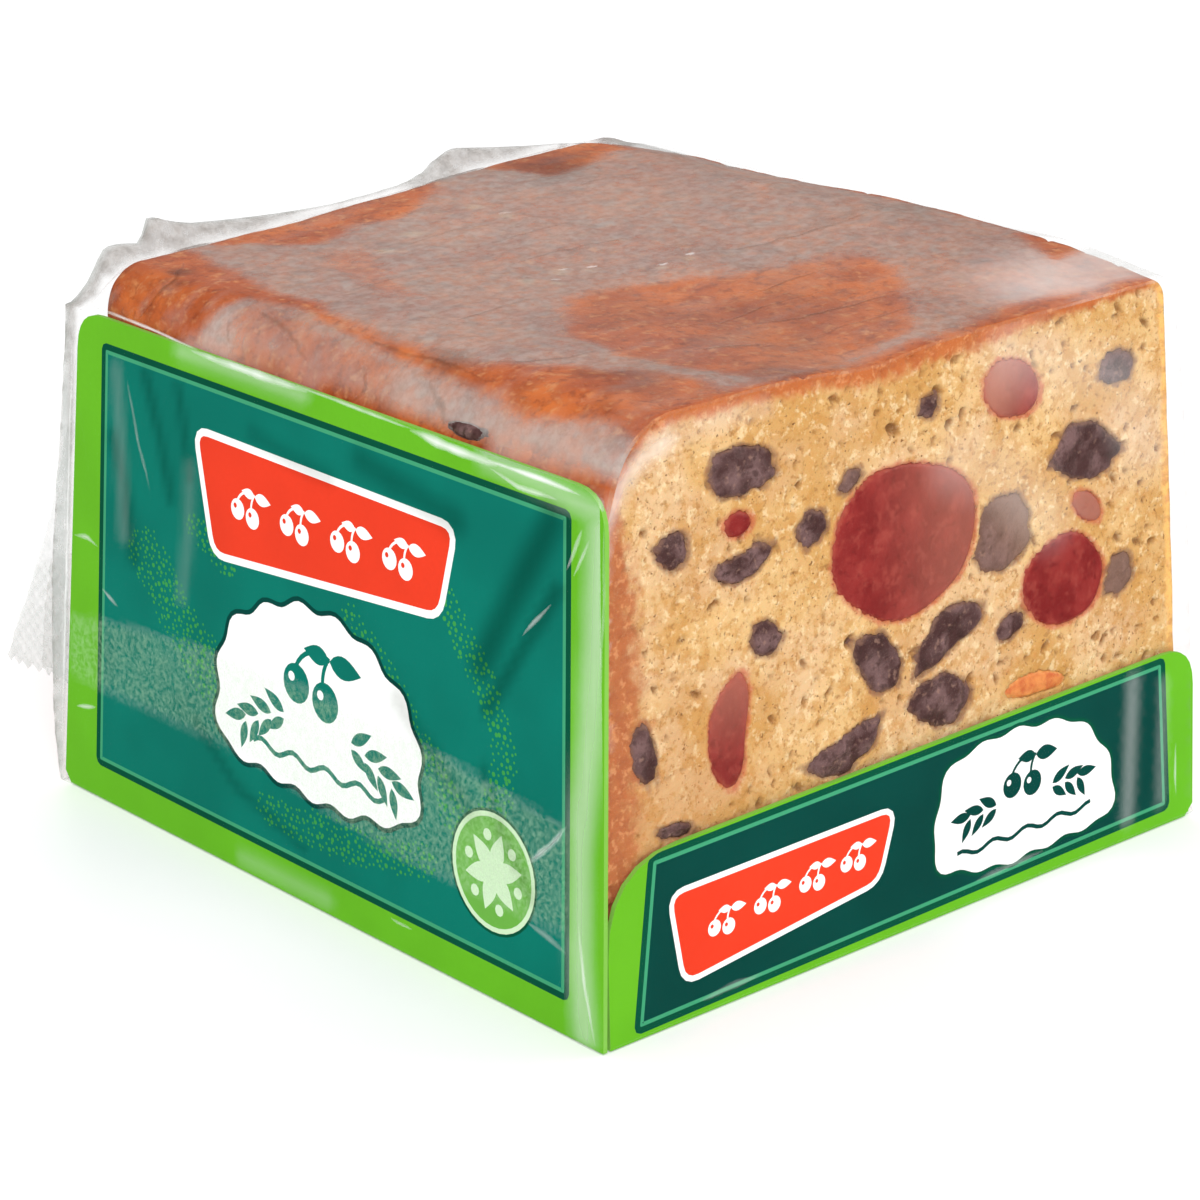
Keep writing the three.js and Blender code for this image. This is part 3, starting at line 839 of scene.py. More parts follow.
def field(corners, ink):
    """A teal field with its dark outline and thin light line, inside the green border."""
    outline = rounded_outline([(*c, 0.2) for c in corners], 3)
    return [(scaled(outline, 0.7), "dark"), (outline, "key"), (scaled(outline, -0.42), ink)]


def plaque(corners, rim):
    outline = rounded_outline([(*c, 1.6) for c in corners], 5)
    return [(scaled(outline, rim), "white"), (outline, "red")]


def label(corners, lobes, depth, rim, rim_ink):
    cloud = scalloped(corners, lobes, depth)
    return [(scaled(cloud, rim), rim_ink), (cloud, "white")]


def sprigs(x, y, start, step, fall, count, leaves, ink):
    """Pairs of leaves that run out from x to both sides. leaves says how far under y each of a pair is,
    its length, its width and its slope."""
    shapes = []
    for side in (-1, 1):
        for i in range(count):
            for under, length, width, slope in leaves:
                start_x = x + side * (start + step * i)
                turn = 90 - side * (slope + 14 * i)
                shapes.append((leaf(start_x, y - under - fall * i, length, width, turn), ink))
    return shapes


def wave(start, end, steps, y, swing, pace, width, ink):
    x = np.linspace(start, end, steps)
    return [(stroke(np.column_stack([x, y + swing * np.sin(x * pace)]), width), ink)]


# Bands of dots in the background of the side panel: width, and a path of (x, y).
DOT_BANDS = (
    (9, (-28.1, 29.3), (-22.9, 24.2), (-14.4, 17)),
    (4.5, (12, 40), (19, 38), (25.4, 31), (28.3, 25), (27.8, 20.4), (25, 16)),
    (7, (5.2, 31), (9, 28.5), (13.5, 24)),
    (4, (-14.4, 31.9), (-20, 35)),
    (5, (-8, 8), (6, 8.6), (17, 10.5)),
    (5, (17, 22), (22, 16)),
)


def dots(ink):
    """Dots that fill the bands."""
    grid = hex_grid((-35, 5), (36, 49), 0.76, 0.3)
    share = np.zeros(len(grid))
    for width, *path in DOT_BANDS:
        wide = width * (1 + 0.2 * noise(np.column_stack([grid, 0 * share]), 5, 44))
        share = np.maximum(share, near_path(grid[:, 0], grid[:, 1], path, wide))
    size = 0.7 + 0.7 * rng.uniform(0, 1, len(grid)) ** 2 * smoothstep(share, 0.1, 0.5)
    return [(disc(*place, 0.21 * s, 6), ink) for place, s, k in zip(grid, size, share) if k > 0.12]


def panel_print():
    """The side panel's print from the bottom layer up. x is -Y of the pack, and y is its height."""
    shapes = field([(-35.4, 50.1), (-37.8, 4.4), (37.4, 4.1), (36.1, 50.1)], "teal")
    shapes += dots("mid")
    shapes += plaque([(-19.5, 44.9), (-16.8, 33.2), (18.3, 36.2), (20.3, 44.8)], 0.8)
    for i in range(4):
        shapes += cherry_pair(2.1, "white", "red", 8 * i - 11.4, 38.7 + 0.35 * i, 4)
    shapes += label([(-15.5, 26.0, 5), (-16.5, 13.2, 4), (2, 11.6, 4), (15.8, 13.6, 4), (15.5, 24.4, 5),
                     (6, 30.6, 4.5), (-4, 31.2, 4.5)], 15, 0.8, 0.5, "lip_teal")
    shapes += cherry_pair(4.0, "teal", "white", -0.5, 23.2, 5)
    shapes += sprigs(0, 19.3, 5.4, 2.1, 0.7, 4, ((0, 3.6, 1.3, 62), (0.7, 3.2, 1.2, 124)), "teal")
    shapes += wave(-10.5, 10.5, 30, 14.9, 0.5, 1.2, 0.55, "teal")
    x, y = 27, 12.8
    shapes += [(disc(x, y, 6.3, 36), "dark"), (disc(x, y, 6.0, 36), "mint"), (disc(x, y, 5.5, 36), "pale")]
    for turn in range(0, 360, 60):
        shapes.append((leaf(x, y, 4.2, 2.0, turn + 15), "mint"))
        shapes.append((disc(*arc(x, y, 3.7, turn + 45, turn + 46, 2)[0], 0.6, 10), "mint"))
    return shapes


def lip_print():
    """The lip's print, with x along the pack's X and y its height."""
    shapes = field([(-35.3, 17.2), (-37.4, 1.2), (37.5, 2.2), (36.2, 18.2)], "lip_teal")
    shapes += plaque([(-33.1, 13.0), (-31.5, 4.1), (-5.8, 6.6), (-3.7, 13.2)], 0.6)
    for i, x in enumerate((-26.6, -20.6, -14.6, -9.0)):
        shapes += cherry_pair(1.6, "white", "red", x, 8.3 + 0.42 * i, 3)
    shapes += label([(3.6, 15.4, 3), (1.9, 5.0, 3), (12, 2.9, 3), (29.2, 3.8, 2.6), (28.6, 9.6, 2.6),
                     (24, 15.6, 4), (12, 17.0, 4)], 13, 0.5, 0.4, "dark")
    shapes += cherry_pair(2.6, "lip_teal", "white", 15.4, 11.2, 4)
    shapes += sprigs(15.4, 9.6, 4.2, 1.9, 0, 3, ((0, 2.9, 1.1, 62), (0.4, 2.6, 1.0, 124)), "lip_teal")
    shapes += wave(5.5, 25.5, 28, 5.7, 0.35, 1.3, 0.45, "lip_teal")
    return shapes


def printed_plate(builder, outline, shapes, face, depth):
    """A plate whose front carries flat shapes of ink. face(points, depth) places (x, y) in the pack."""
    rings = [outline] + [shape for shape, _ in shapes]
    edges, start = [], 0
    for ring in rings:
        edges += ring_edges(len(ring), start)
        start += len(ring)
    points, faces, middle = fill(outline, np.concatenate(rings), edges, 1e-5)
    ink = np.full(len(faces), INKS.index("green"))
    for ring, name in shapes:
        near = np.flatnonzero(np.all((middle > ring.min(axis=0)) & (middle < ring.max(axis=0)), axis=1))
        ink[near[inside(middle[near], ring)]] = INKS.index(name)
    builder.add(face(points, 0), faces.tolist(), ink)
    flat, back_faces, _ = fill(outline, outline, ring_edges(len(outline)), 1e-6)
    builder.add(face(flat, depth), back_faces[:, ::-1].tolist(), INKS.index("back"))
    count = len(outline)
    walls = [[i, after, after + count, i + count] for i, after in ring_edges(count)]
    builder.add(np.vstack([face(outline, 0), face(outline, depth)]), walls, INKS.index("board"))


def make_card(materials):
    t = CARD.thickness
    foot = CARD.back + PANEL.back_overhang
    side = rounded_outline([
        (-CARD.front, 0, 0), (-(CARD.front + PANEL.height * LEAN), PANEL.height, PANEL.corner),
        (-(foot - PANEL.height * PANEL.back_lean), PANEL.height, PANEL.corner),
        (-foot, PANEL.chamfer, 0), (-CARD.back, 0, 0)])
    left = CARD.left + LIP.inset
    lip = rounded_outline([
        (left, 0, 0), (CARD.right - LIP.chamfer, 0, 0), (CARD.right, LIP.chamfer, 0),
        (CARD.right - LIP.height * LEAN, LIP.height + LIP.rise / 2, LIP.far_corner),
        (left, LIP.height - LIP.rise / 2, LIP.near_corner)])
    base = rounded_outline([
        (CARD.left + t, CARD.back, 0), (CARD.right, CARD.back, 0),
        (CARD.right, CARD.front + t, 0), (CARD.left + t, CARD.front + t, 0)])

    def panel_face(p, depth):
        return np.column_stack([CARD.left + p[:, 1] * LEAN + depth, -p[:, 0], p[:, 1]])

    def lip_face(p, depth):
        return np.column_stack([p[:, 0], CARD.front + p[:, 1] * LEAN + depth, p[:, 1]])

    def base_face(p, depth):
        return np.column_stack([p, np.full(len(p), depth)])

    builder = Builder()
    printed_plate(builder, side, panel_print(), panel_face, t)
    printed_plate(builder, lip, lip_print(), lip_face, t)
    printed_plate(builder, base, [], base_face, t)
    piece = builder.build("printed_card", materials, smooth=False)
    join_doubles(piece)
    return piece


# ---------------------------------------------------------------- the film

def mid_width(x):
    """1 over most of the pack's width, falling to 0 at its sides."""
    return 1 - smoothstep(np.abs(x), 30, 42)


def film_back(x, z):
    """The Y of the film's back end."""
    y = np.interp(z, [p[1] for p in FILM_BACK], [p[0] for p in FILM_BACK])
    return y + FILM.slack * mid_width(x) * smoothstep(z, 15, 35) * (1 - smoothstep(z, 50, 60))


def film_front(z):
    """The Y of the film's front: flat from the lip's face up to the cake's top edge."""
    on_lip = CARD.front + z * LEAN - FILM.off
    top = CAKE.front + CAKE.top * LEAN - FILM.off
    lip = CARD.front + LIP.height * LEAN - FILM.off
    bridge = lerp(lip, top, (z - LIP.height) / (CAKE.top - LIP.height))
    return np.where(z < LIP.height, on_lip, bridge)


def ear_height(x):
    total = 0 * x
    for start, rise, end, height in EARS:
        fade = np.clip((end - x) / (end - start - rise), 0, 1) ** 1.3
        total = total + height * smoothstep(x, start, start + rise) * fade
    return total


def film_left(z):
    """The X of the film on the side panel."""
    return CARD.left - FILM.off + z * LEAN


PANEL_TOP = PANEL.height + 0.1
AROUND, FRONT, BACK = range(3)      # the parts of the film


def film_sections(y):
    """The x and z of rings round the film's section at each y, ordered as the cake's are."""
    radius = left_radius(upright(0, y)[1])
    hug_y = np.minimum(y, CAKE.back - CAKE.back_top_radius)
    corner = CAKE.right_radius
    pull = np.interp(y, *FILM_SIDE.pull)

    def hug(x):
        """The film's height where it lies on the cake's top and its round left edge."""
        x = np.broadcast_to(x, y.shape)
        z = CAKE.top
        for _ in range(3):
            into = np.clip(CAKE.left + radius - upright(x, hug_y, z)[0], 0, radius)
            z = crust_height(x, hug_y) - radius + np.sqrt(radius ** 2 - into ** 2) + FILM.off
        from_panel = PANEL_TOP + (x - film_left(PANEL_TOP)) * FILM.bridge
        return np.minimum(z, from_panel)

    def top(x):
        """As hug, but sunk towards the back end."""
        lying = hug(x)
        sunk = crust_height(x, CAKE.back + 0 * y) - FILM.sink - FILM.corner * (1 - mid_width(x)) ** 2
        return lerp(lying, np.minimum(sunk, lying), smoothstep(y, *FILM.sinking))

    def right_x(z):
        bowed = FILM_SIDE.x - FILM_SIDE.lean * z - pull * (z / FILM_SIDE.edge) ** 8
        return np.maximum(bowed, cake_side(np.minimum(z, FILM_SIDE.edge), y) + FILM.off)

    spots = [(film_left(z), z if z > 0 else FILM.underside) for z in np.linspace(0, PANEL_TOP, 64)]
    top_right = right_x(FILM_SIDE.edge + 0.2) - corner
    for t in np.concatenate([np.linspace(0, 0.12, 14)[1:], np.linspace(0.12, 1, 96)[1:]]):
        x = lerp(film_left(PANEL_TOP), top_right, t)
        spots.append((x, top(x)))
    edge = top(top_right)
    for angle in np.radians(np.linspace(72, 0, 6)):
        spots.append((top_right + corner * math.cos(angle), edge - corner + corner * math.sin(angle)))
    for t in np.linspace(0, 1, 66)[1:]:      # the side, which leaves the round corner gradually
        z = lerp(edge - corner, FILM.underside, t)
        spots.append((np.minimum(right_x(z), top_right + corner + 60 * (t + 0.001)), z))
    spots += [(x, FILM.underside) for x in np.linspace(CARD.right - 0.2, CARD.left, 60)[1:-1]]
    return stacked(spots, y)


# Creases in the film, each with a painted white highlight: width, strength, and a path. On the side panel a
# path is of (y, z), on the front of (x, z), on the top of (x, y).
PANEL_CREASE_HIGHLIGHTS = (
    (0.5, 0.75, (37.7, 54.2), (27.5, 54.0), (19, 53.6)),
    (1.1, 0.7, (20, 53.3), (10.8, 53.3), (1.2, 53.3)),
    (0.5, 0.5, (3, 53.5), (-6.5, 53.4), (-15, 53.3)),
    (1.3, 0.85, (-14.4, 53.1), (-21.3, 52.8), (-26.9, 52.7)),
    (0.7, 0.9, (-25.5, 52.9), (-32.4, 52.9), (-38.2, 52.7)),
    (0.7, 0.6, (-26, 52.2), (-29.7, 51.4), (-35.2, 51.5)),
    (0.5, 0.25, (-41.4, 51), (-41.6, 44), (-41.6, 36)),
    (0.6, 0.5, (-39.4, 12), (-40.4, 6), (-42.2, 0.6)),
    (0.9, 0.4, (-32.2, 15.5), (-35, 18), (-37.6, 21)),
    (0.9, 0.25, (-32.5, 9.6), (-35, 9.2), (-38, 8.3)),
    (0.6, 0.5, (-38.6, 49.5), (-36.6, 45.4)),
    (0.5, 0.4, (-39.6, 48.8), (-37.6, 45.0)),
    (0.6, 0.42, (-30.8, 37.5), (-34.6, 41.6)),
    (0.7, 0.2, (31.2, 47.8), (29.6, 42), (27.5, 37)),
    (0.6, 0.35, (36.3, 24.1), (33.6, 22.8)),
    (0.7, 0.5, (41.4, 28.8), (39, 29), (37.1, 28.4)),
    (0.6, 0.55, (41.6, 9.4), (38, 10.3)),
    (0.9, 0.25, (43.6, 22), (43.9, 16), (44.0, 11)),
    (0.5, 0.7, (44.6, 3), (43.4, 20), (42.2, 36), (41, 50)),
    (0.5, 0.35, (-12, 3.2), (-15.5, 3.0)),
)
FRONT_CREASE_HIGHLIGHTS = (
    (0.5, 0.5, (38.8, 3), (38.6, 9)),
    (0.6, 0.6, (38.3, 27), (37.4, 42), (36.6, 55)),
    (1.0, 0.2, (-30, 1.6), (-22, 1.9)),
    (1.0, 0.2, (8, 2.4), (18, 2.8)),
)
# On the top, x counts on round the left edge as it does for the crust.
TOP_CREASE_HIGHLIGHTS = (
    (0.8, 0.7, (-43.5, 39.6), (-40.5, 38.6), (-36.4, 38.2), (-31, 38.4), (-24, 38.8)),
    (0.5, 0.3, (-24, 38.8), (-12, 39.2), (0, 39.4)),
    (0.8, 0.5, (-5.3, 0.6), (-3.9, 0.4)),
    (0.6, 0.45, (-8.2, 1.9), (-6.6, 1.7)),
    (0.7, 0.5, (0.3, -4.1), (1.5, -4.2)),
    (0.8, 0.6, (4.3, -3.7), (5.5, -3.9)),
    (0.6, 0.4, (0.7, 21.2), (1.8, 20.6)),
    (0.5, 0.35, (-10.9, -0.3), (-9.8, -0.7)),
)
# Wide, soft painted highlights, in the same way.
PANEL_SOFT_HIGHLIGHTS = (
    (5.5, 0.3, (-40.8, 50), (-40.6, 40), (-40.2, 30), (-39.2, 19), (-39.6, 9), (-40.6, 1)),
    (4.0, 0.25, (-25, 53), (-34, 52.4), (-41, 51.5)),
    (3.5, 0.2, (22, 53), (2, 53)),
    (3.4, 0.08, (33.2, 48.5), (32.6, 40), (32.4, 31)),
    (3.4, 0.06, (20.6, 41), (21, 34), (22.3, 27)),
    (3.5, 0.12, (12, 1.5), (-2, 1.5)),
)
FRONT_SOFT_HIGHLIGHTS = (
    (3.6, 0.34, (-41.2, 46), (-40.2, 50), (-37.8, 53.6), (-35.4, 55.4), (-32, 56.6)),
    (3.4, 0.12, (-34, 56), (-30.9, 57), (-27, 57.3), (-20, 57)),
    (12.0, 0.14, (13, 56), (20, 53), (29, 50), (33, 42)),
    (11.0, 0.12, (5, 47), (12, 44), (19, 38)),
    (3.6, 0.18, (31.2, 2.6), (31.4, 10), (31.6, 17.4)),
    (3.0, 0.12, (36.5, 3), (36.5, 16)),
)
# Painted shade along the film's folds, in the same way, but with how dark it is.
PANEL_FOLD_SHADE = (
    (6.0, 0.8, (-34.5, 49.5), (-29.5, 41), (-25, 33)),
    (3.4, 0.7, (-35.4, 43), (-31, 36.5), (-26.1, 29)),
    (5.5, 0.6, (-7, 48.4), (-14, 47.2), (-21, 45.9)),
    (4.0, 0.6, (34, 41), (32, 36.5), (30.6, 29)),
    (3.2, 0.55, (28, 49), (25.5, 43), (24, 37)),
    (2.6, 0.5, (22.5, 49), (21.3, 44), (20.6, 40)),
    (4.0, 0.45, (10, 47), (4, 46), (-2, 45.6)),
    (4.5, 0.45, (-13, 26), (-18, 22), (-23.5, 18)),
    (2.5, 0.5, (-25.5, 23), (-28.5, 17), (-33, 12)),
    (2.5, 0.45, (20, 14), (13, 9), (2, 6)),
)
TOP_FOLD_SHADE = (
    (0.7, 0.5, (6.4, -4.1), (10, -6.5), (16.6, -7.4), (23.8, -7.8), (30.8, -7.0)),
    (2.6, 0.32, (13, -6.5), (19, -6.6), (26, -6.4), (32, -5.8)),
    (0.6, 0.5, (-30.6, -5.5), (-25.8, -5.2), (-20.4, -4.3), (-16.3, -4.3)),
    (0.6, 0.45, (-11.2, 6.4), (-4.6, 6.7), (0.8, 5.6), (5.4, 4.3)),
    (0.8, 0.6, (-33.8, -16.9), (-31.5, -20.4), (-27.9, -22.1), (-23.6, -22.4)),
    (0.7, 0.55, (-6.6, -23.4), (-1.9, -25.9), (4.2, -27.1), (12, -27.4)),
    (0.6, 0.5, (-0.5, -15.9), (2, -17.7), (7.1, -17), (11.5, -16.9)),
    (0.6, 0.45, (-14, -20.6), (-8, -21.8), (-1.7, -20.9), (6, -22)),
    (0.9, 0.5, (-17.5, -28), (-12.2, -29.5), (-8.9, -30)),
    (0.6, 0.4, (-3.7, -30.4), (4, -31.6), (12, -31.4)),
    (0.8, 0.6, (-32.7, 32.1), (-36.9, 28.1), (-40.7, 29.2), (-42, 30.3)),
    (0.7, 0.5, (-35.3, 0), (-35.9, -7.0), (-35.3, -10.6), (-35.3, -15.3), (-35.8, -18.4)),
    (0.5, 0.35, (-30, 11), (-22, 11.5), (-14, 10.6)),
    (0.5, 0.35, (-22, 20), (-13, 19.5), (-2, 20.4)),
    (0.5, 0.35, (-12, 13.5), (-3, 14), (8, 12.5)),
    (0.5, 0.3, (6, 22), (14, 22.3), (21, 21)),
    (0.9, 0.5, (-37, 14.5), (-38.2, 8), (-40.5, 4)),
    (0.6, 0.4, (-39, 17), (-41.6, 15.5)),
    (0.6, 0.4, (-38, -3), (-41, -5), (-43, -4)),
    (1.0, 0.5, (-38.2, -13), (-40.5, -16.5), (-42.5, -17.5)),
)


def near_path(a, b, path, width):
    """1 on a path, fading out across its width and at its ends."""
    best = np.zeros_like(a)
    for start, end in zip(path, path[1:]):
        along = np.array(end, float) - start
        t = np.clip(((a - start[0]) * along[0] + (b - start[1]) * along[1]) / (along @ along), 0, 1)
        distance = np.hypot(a - start[0] - t * along[0], b - start[1] - t * along[1])
        best = np.maximum(best, 1 - smoothstep(distance, 0, width / 2))
    return best


def band_across(z, low, high, soft):
    """1 between two heights, fading out over a short way inside them."""
    return smoothstep(z, low, low + soft) * (1 - smoothstep(z, high - soft, high))


def strongest(a, b, marks):
    """How strongly each place (a, b) is marked: marks hold a width, a strength and a path."""
    return np.max([strength * near_path(a, b, path, width) for width, strength, *path in marks], axis=0)


def film_values(points, where):
    """The film's looks at each point: a cloudy veil that is a painted reflection on the top, painted white
    highlights, a netted band of painted reflection, and painted shade. where is which part of the film it
    is:
    AROUND, FRONT or BACK."""
    x, y, z = points[..., 0], points[..., 1], points[..., 2]
    around = where == AROUND
    top = smoothstep(z, 53.6, 54.8) * around
    side = around * (1 - top)
    panel = side * (x < 0)
    card_end = CARD.back + PANEL.back_overhang - z * PANEL.back_lean
    beyond_card = panel * smoothstep(y - card_end, -0.3, 0.6)

    # the haze on the top, a painted reflection of the studio light where the film stands off the crust,
    # which ends before the far edge and gives way to the ears at the back
    standing = np.maximum(smoothstep(ear_height(x), 0, 1.5), 1 - smoothstep(x, -38.5, -36))
    behind = smoothstep(y, 41 - 2.2 * standing, 42.4 - 1.8 * standing)
    last = lerp(35.4, 34, smoothstep(y, -27, -20))
    sheen_on_top = top * (1 - behind) * (1 - cling(points)) * (1 - 0.93 * smoothstep(x, last, last + 1.4))
    right_corner = smoothstep(x, 10, 24) * (1 - smoothstep(y, -35, -22))
    blotch = 0.5 + 0.5 * rough(points, 10, 3, 90)
    streaks = smoothstep(noise(points * np.array([1, 1, 0.07]), 2.2, 19), 0.1, 0.7)
    # the veil is a painted reflection on the top; at the back, beyond the card and on the bare side it is
    # cloudy film
    milky = sheen_on_top * lerp(0.57, 0.67, blotch) * (1 - 0.5 * right_corner) + top * behind * 0.7
    milky = milky + beyond_card * (0.48 + 0.3 * streaks) + side * (x > 0) * 0.10
    milky = milky + (where == FRONT) * 0.005 + (where == BACK) * (0.12 + 0.16 * streaks)
    # painted highlights: pale spots in the top's haze near the right front corner and on the round left
    # edge, and the soft highlights on the panel and the front
    white = sheen_on_top * (0.28 * right_corner * (0.5 + blotch) + 0.12 * (1 - smoothstep(x, -39, -34)))
    white = np.maximum(white, panel * strongest(y, z, PANEL_SOFT_HIGHLIGHTS))
    white = np.maximum(white, (where == FRONT) * strongest(x, z, FRONT_SOFT_HIGHLIGHTS))

    # the pale band of painted reflection along the side panel
    low = lerp(9.6, 12.6, smoothstep(y, -14, 14)) + 0.4 * noise(points, 12, 27)
    high = 23.4 - 2.4 * (y / 36) ** 2 + 0.4 * noise(points, 9, 17)
    net = panel * band_across(y, -39, 43.2, 1.5) * band_across(z, low, high, 0.9)
    shade = panel * strongest(y, z, PANEL_FOLD_SHADE)
    values = {"milky": np.clip(milky, 0, 1), "crease": white, "net": net, "shade": shade}
    return {key: value.ravel() for key, value in values.items()}


def add_strip(builder, path, normal, width, **strength):
    """A low ridge along a path: a fold line in the film, with a painted highlight or painted shade along
    it.
    Its values fade to its sides and its ends.
    """
    path = np.array(path, float)
    normal = np.broadcast_to(np.array(normal, float), path.shape)
    run = run_of(path)
    count = max(int(run[-1] / 0.7), 8)
    t = np.linspace(0, 1, count)
    path, normal = sampled(path, run, t * run[-1]), unit(sampled(normal, run, t * run[-1]))
    side = unit(np.cross(np.gradient(path, axis=0), normal))
    taper = np.sin(math.pi * np.clip(t, 0.02, 0.98)) ** 0.5
    half = width / 2 * taper * (1 + 0.3 * noise(path, 1.8, 62))
    across = np.outer(half, (-1, -0.5, 0, 0.5, 1)) + 0.12 * noise(path, 2.6, 61)[:, None]
    rise = np.array([0.03, 0.07, 0.09, 0.07, 0.03])
    grid = path[:, None] + side[:, None] * across[..., None] + normal[:, None] * rise[:, None]
    fade = np.outer(taper * (0.85 + 0.3 * noise(path, 1.3, 63)), (0, 0.6, 1, 0.6, 0))
    values = {"milky": 0.0, "crease": 0.0, "net": 0.0, "shade": 0.0}
    values.update({key: (value * fade).ravel() for key, value in strength.items()})
    builder.add(grid.reshape(-1, 3), grid_faces(count, 5), **values)


def add_creases(builder, shell, normal):
    """The film's sharp creases and folds, as low ridges on it: painted highlights along the creases,
    painted shade along the folds.
    """
    over = shell[..., 2] > 50
    on_top, normal = shell[over], normal[over]
    tree = tree_of(on_crust(on_top))

    def add_on_top(marks, key):
        for width, strength, *path in marks:
            run = np.linspace(0, len(path) - 1, 12 * (len(path) - 1) + 1)
            spots, normals = [], []
            for x, y in zip(*(np.interp(run, range(len(path)), line) for line in zip(*path))):
                near = tree.find_n((x, y, 0), 4)
                share = np.array([1 / (distance + 0.1) for _, _, distance in near])
                picked = [i for _, i, _ in near]
                spots.append(share @ on_top[picked] / share.sum())
                normals.append(share @ normal[picked])
            add_strip(builder, spots, normals, width, **{key: strength})

    for width, strength, *path in PANEL_CREASE_HIGHLIGHTS:
        spots = [(film_left(min(z, PANEL_TOP)) + max(z - PANEL_TOP, 0) * 0.6 - 0.06, y, z) for y, z in path]
        add_strip(builder, spots, (-1, 0, LEAN), width, crease=strength)
    for width, strength, *path in FRONT_CREASE_HIGHLIGHTS:
        spots = [(x, float(film_front(z)) - 0.06, z) for x, z in path]
        add_strip(builder, spots, (0, -1, LEAN), width, crease=strength)
    add_on_top(TOP_CREASE_HIGHLIGHTS, "crease")
    add_on_top(TOP_FOLD_SHADE, "shade")


def wrinkle(points, where):
    """How far the film stands out in wrinkles, in mm."""
    slanting = points @ np.array([[1, 0, 0], [0, 0.35, 0.5], [0, -0.9, 0.35]]).T
    if where == FRONT:
        return 0.03 * (1 + noise(slanting, 7.0, 56))
    if where == BACK:
        return np.maximum(0.25 * (1 + rough(points * np.array([1.4, 1, 0.35]), 4, 3, 55)), 0)
    x, z = points[..., 0], points[..., 2]
    on_top = smoothstep(z, 54, 57)
    stretched = points * np.array([0.2, 1.0, 0.6])
    ridges = 1 - np.abs(noise(stretched, 3.6, 51) + 0.35 * noise(points, 2.5, 52))
    loose = on_top * (1 - cling(points)) * (1 - smoothstep(x, 30, 35))
    lift = loose * (0.12 + 0.22 * smoothstep(ridges, 0.8, 1.0))
    folds = 1 - np.abs(noise(slanting, 5.0, 53) + 0.3 * noise(points, 3.0, 54))
    side = (1 - on_top) * (0.04 + 0.12 * smoothstep(folds, 0.86, 1.0) + 0.05 * noise(points, 14, 57))
    return np.maximum(lift + side, 0)


def make_film(material):
    # how far along the film each ring lies: they are closer together at both ends
    share = np.concatenate([
        np.linspace(0, 0.012, 4)[:-1], np.linspace(0.012, 0.93, 74), np.linspace(0.93, 1, 20)[1:]])
    x, z = film_sections(lerp(*FILM.top_run, share))
    y = lerp(film_front(z), film_back(x, z), share[None, :])
    z = z + ear_height(x) * smoothstep(y, 38.4, 41.6) * (z > 50)
    shell = np.stack([x, y, z], axis=-1)
    normal = grid_normals(shell)
    y_in = y - film_front(z)
    turn_in = rounded_in(FILM.fold - y_in, FILM.fold)
    bumps = wrinkle(shell, AROUND) * smoothstep(y_in, 0.3, 3) * (z > 0.5)
    shell = shell + normal * (bumps - turn_in)[..., None] * np.array([1, 0, 1])
    builder = Builder()
    builder.add(shell.reshape(-1, 3), grid_faces(*shell.shape[:2], closed=True, flip=True),
                **film_values(shell, AROUND))
    add_creases(builder, shell, normal)
    for where, column, out in ((FRONT, 0, -1), (BACK, -1, 1)):
        flat, faces, _, edge = cap(shell[:, column, [0, 2]], 1.1, 0.1, clear=0.5)
        x, z = flat[:, 0], flat[:, 1]
        sheet = np.column_stack([x, film_front(z) if where == FRONT else film_back(x, z), z])
        sheet[:, 1] += out * wrinkle(sheet, where) * smoothstep(edge, 0, 3)
        builder.add(sheet, faces[:, ::-out].tolist(), **film_values(sheet, where))
    piece = builder.build("film_bag", [material])
    join_doubles(piece)
    return piece


def crimp(a, b, pitch):
    """The diamond pattern of the heat seal, from 0 to 1."""
    return 0.5 + 0.25 * (np.cos(2 * math.pi * (a + b) / pitch) + np.cos(2 * math.pi * (a - b) / pitch))


def zigzag(t):
    return np.abs(t % 1 - 0.5) * 2


def add_sheet(builder, grid, milky, crease=0.0, flip=False):
    builder.add(grid.reshape(-1, 3), grid_faces(*grid.shape[:2], flip=flip), milky=milky.ravel(),
                crease=np.ravel(crease), net=0.0, shade=0.0)


def add_flap(builder, x, reach):
    """The flap at one end of the seal, reach times as far out as FLAP_EDGE."""
    edges, heights = np.array(FLAP_EDGE).T
    z, u = np.meshgrid(np.linspace(heights[0], heights[-1], 100), np.linspace(0, 1, 34), indexing="ij")
    outer = np.interp(z, heights, edges)
    outer = np.where(outer > FLAP_INNER, lerp(FLAP_INNER, outer, reach), outer)
    inner = np.minimum(FLAP_INNER, outer - 1.5)
    y = lerp(inner, outer, u)
    z = z + SEAL.tooth * zigzag(y / 1.7) * (1 - smoothstep(z, heights[0], heights[0] + 1.2))
    flat = np.stack([0 * y, y, z], axis=-1)
    sealed = 1 - smoothstep(z, 23.0, 24.4)
    crimped = crimp(y, z, 1.5)
    folds = 0.35 * (1 - 0.6 * sealed) * rough(flat * [1, 1.6, 0.5], 5, 3, 66)
    bump = 0.28 * sealed * (crimped - 0.5) + folds
    lean = z * -math.copysign(LEAN, x) - 0.06 * (y - inner)
    milky = 0.26 + 0.22 * sealed * crimped + 0.1 * rough(flat, 3.2, 2, 67) * (1 - sealed)
    # the flap's outer edge takes a painted white highlight
    add_sheet(builder, np.stack([x + lean + bump, y, z], axis=-1), np.clip(milky, 0.05, 1),
              smoothstep(u, 0.93, 1.0) * 0.3)


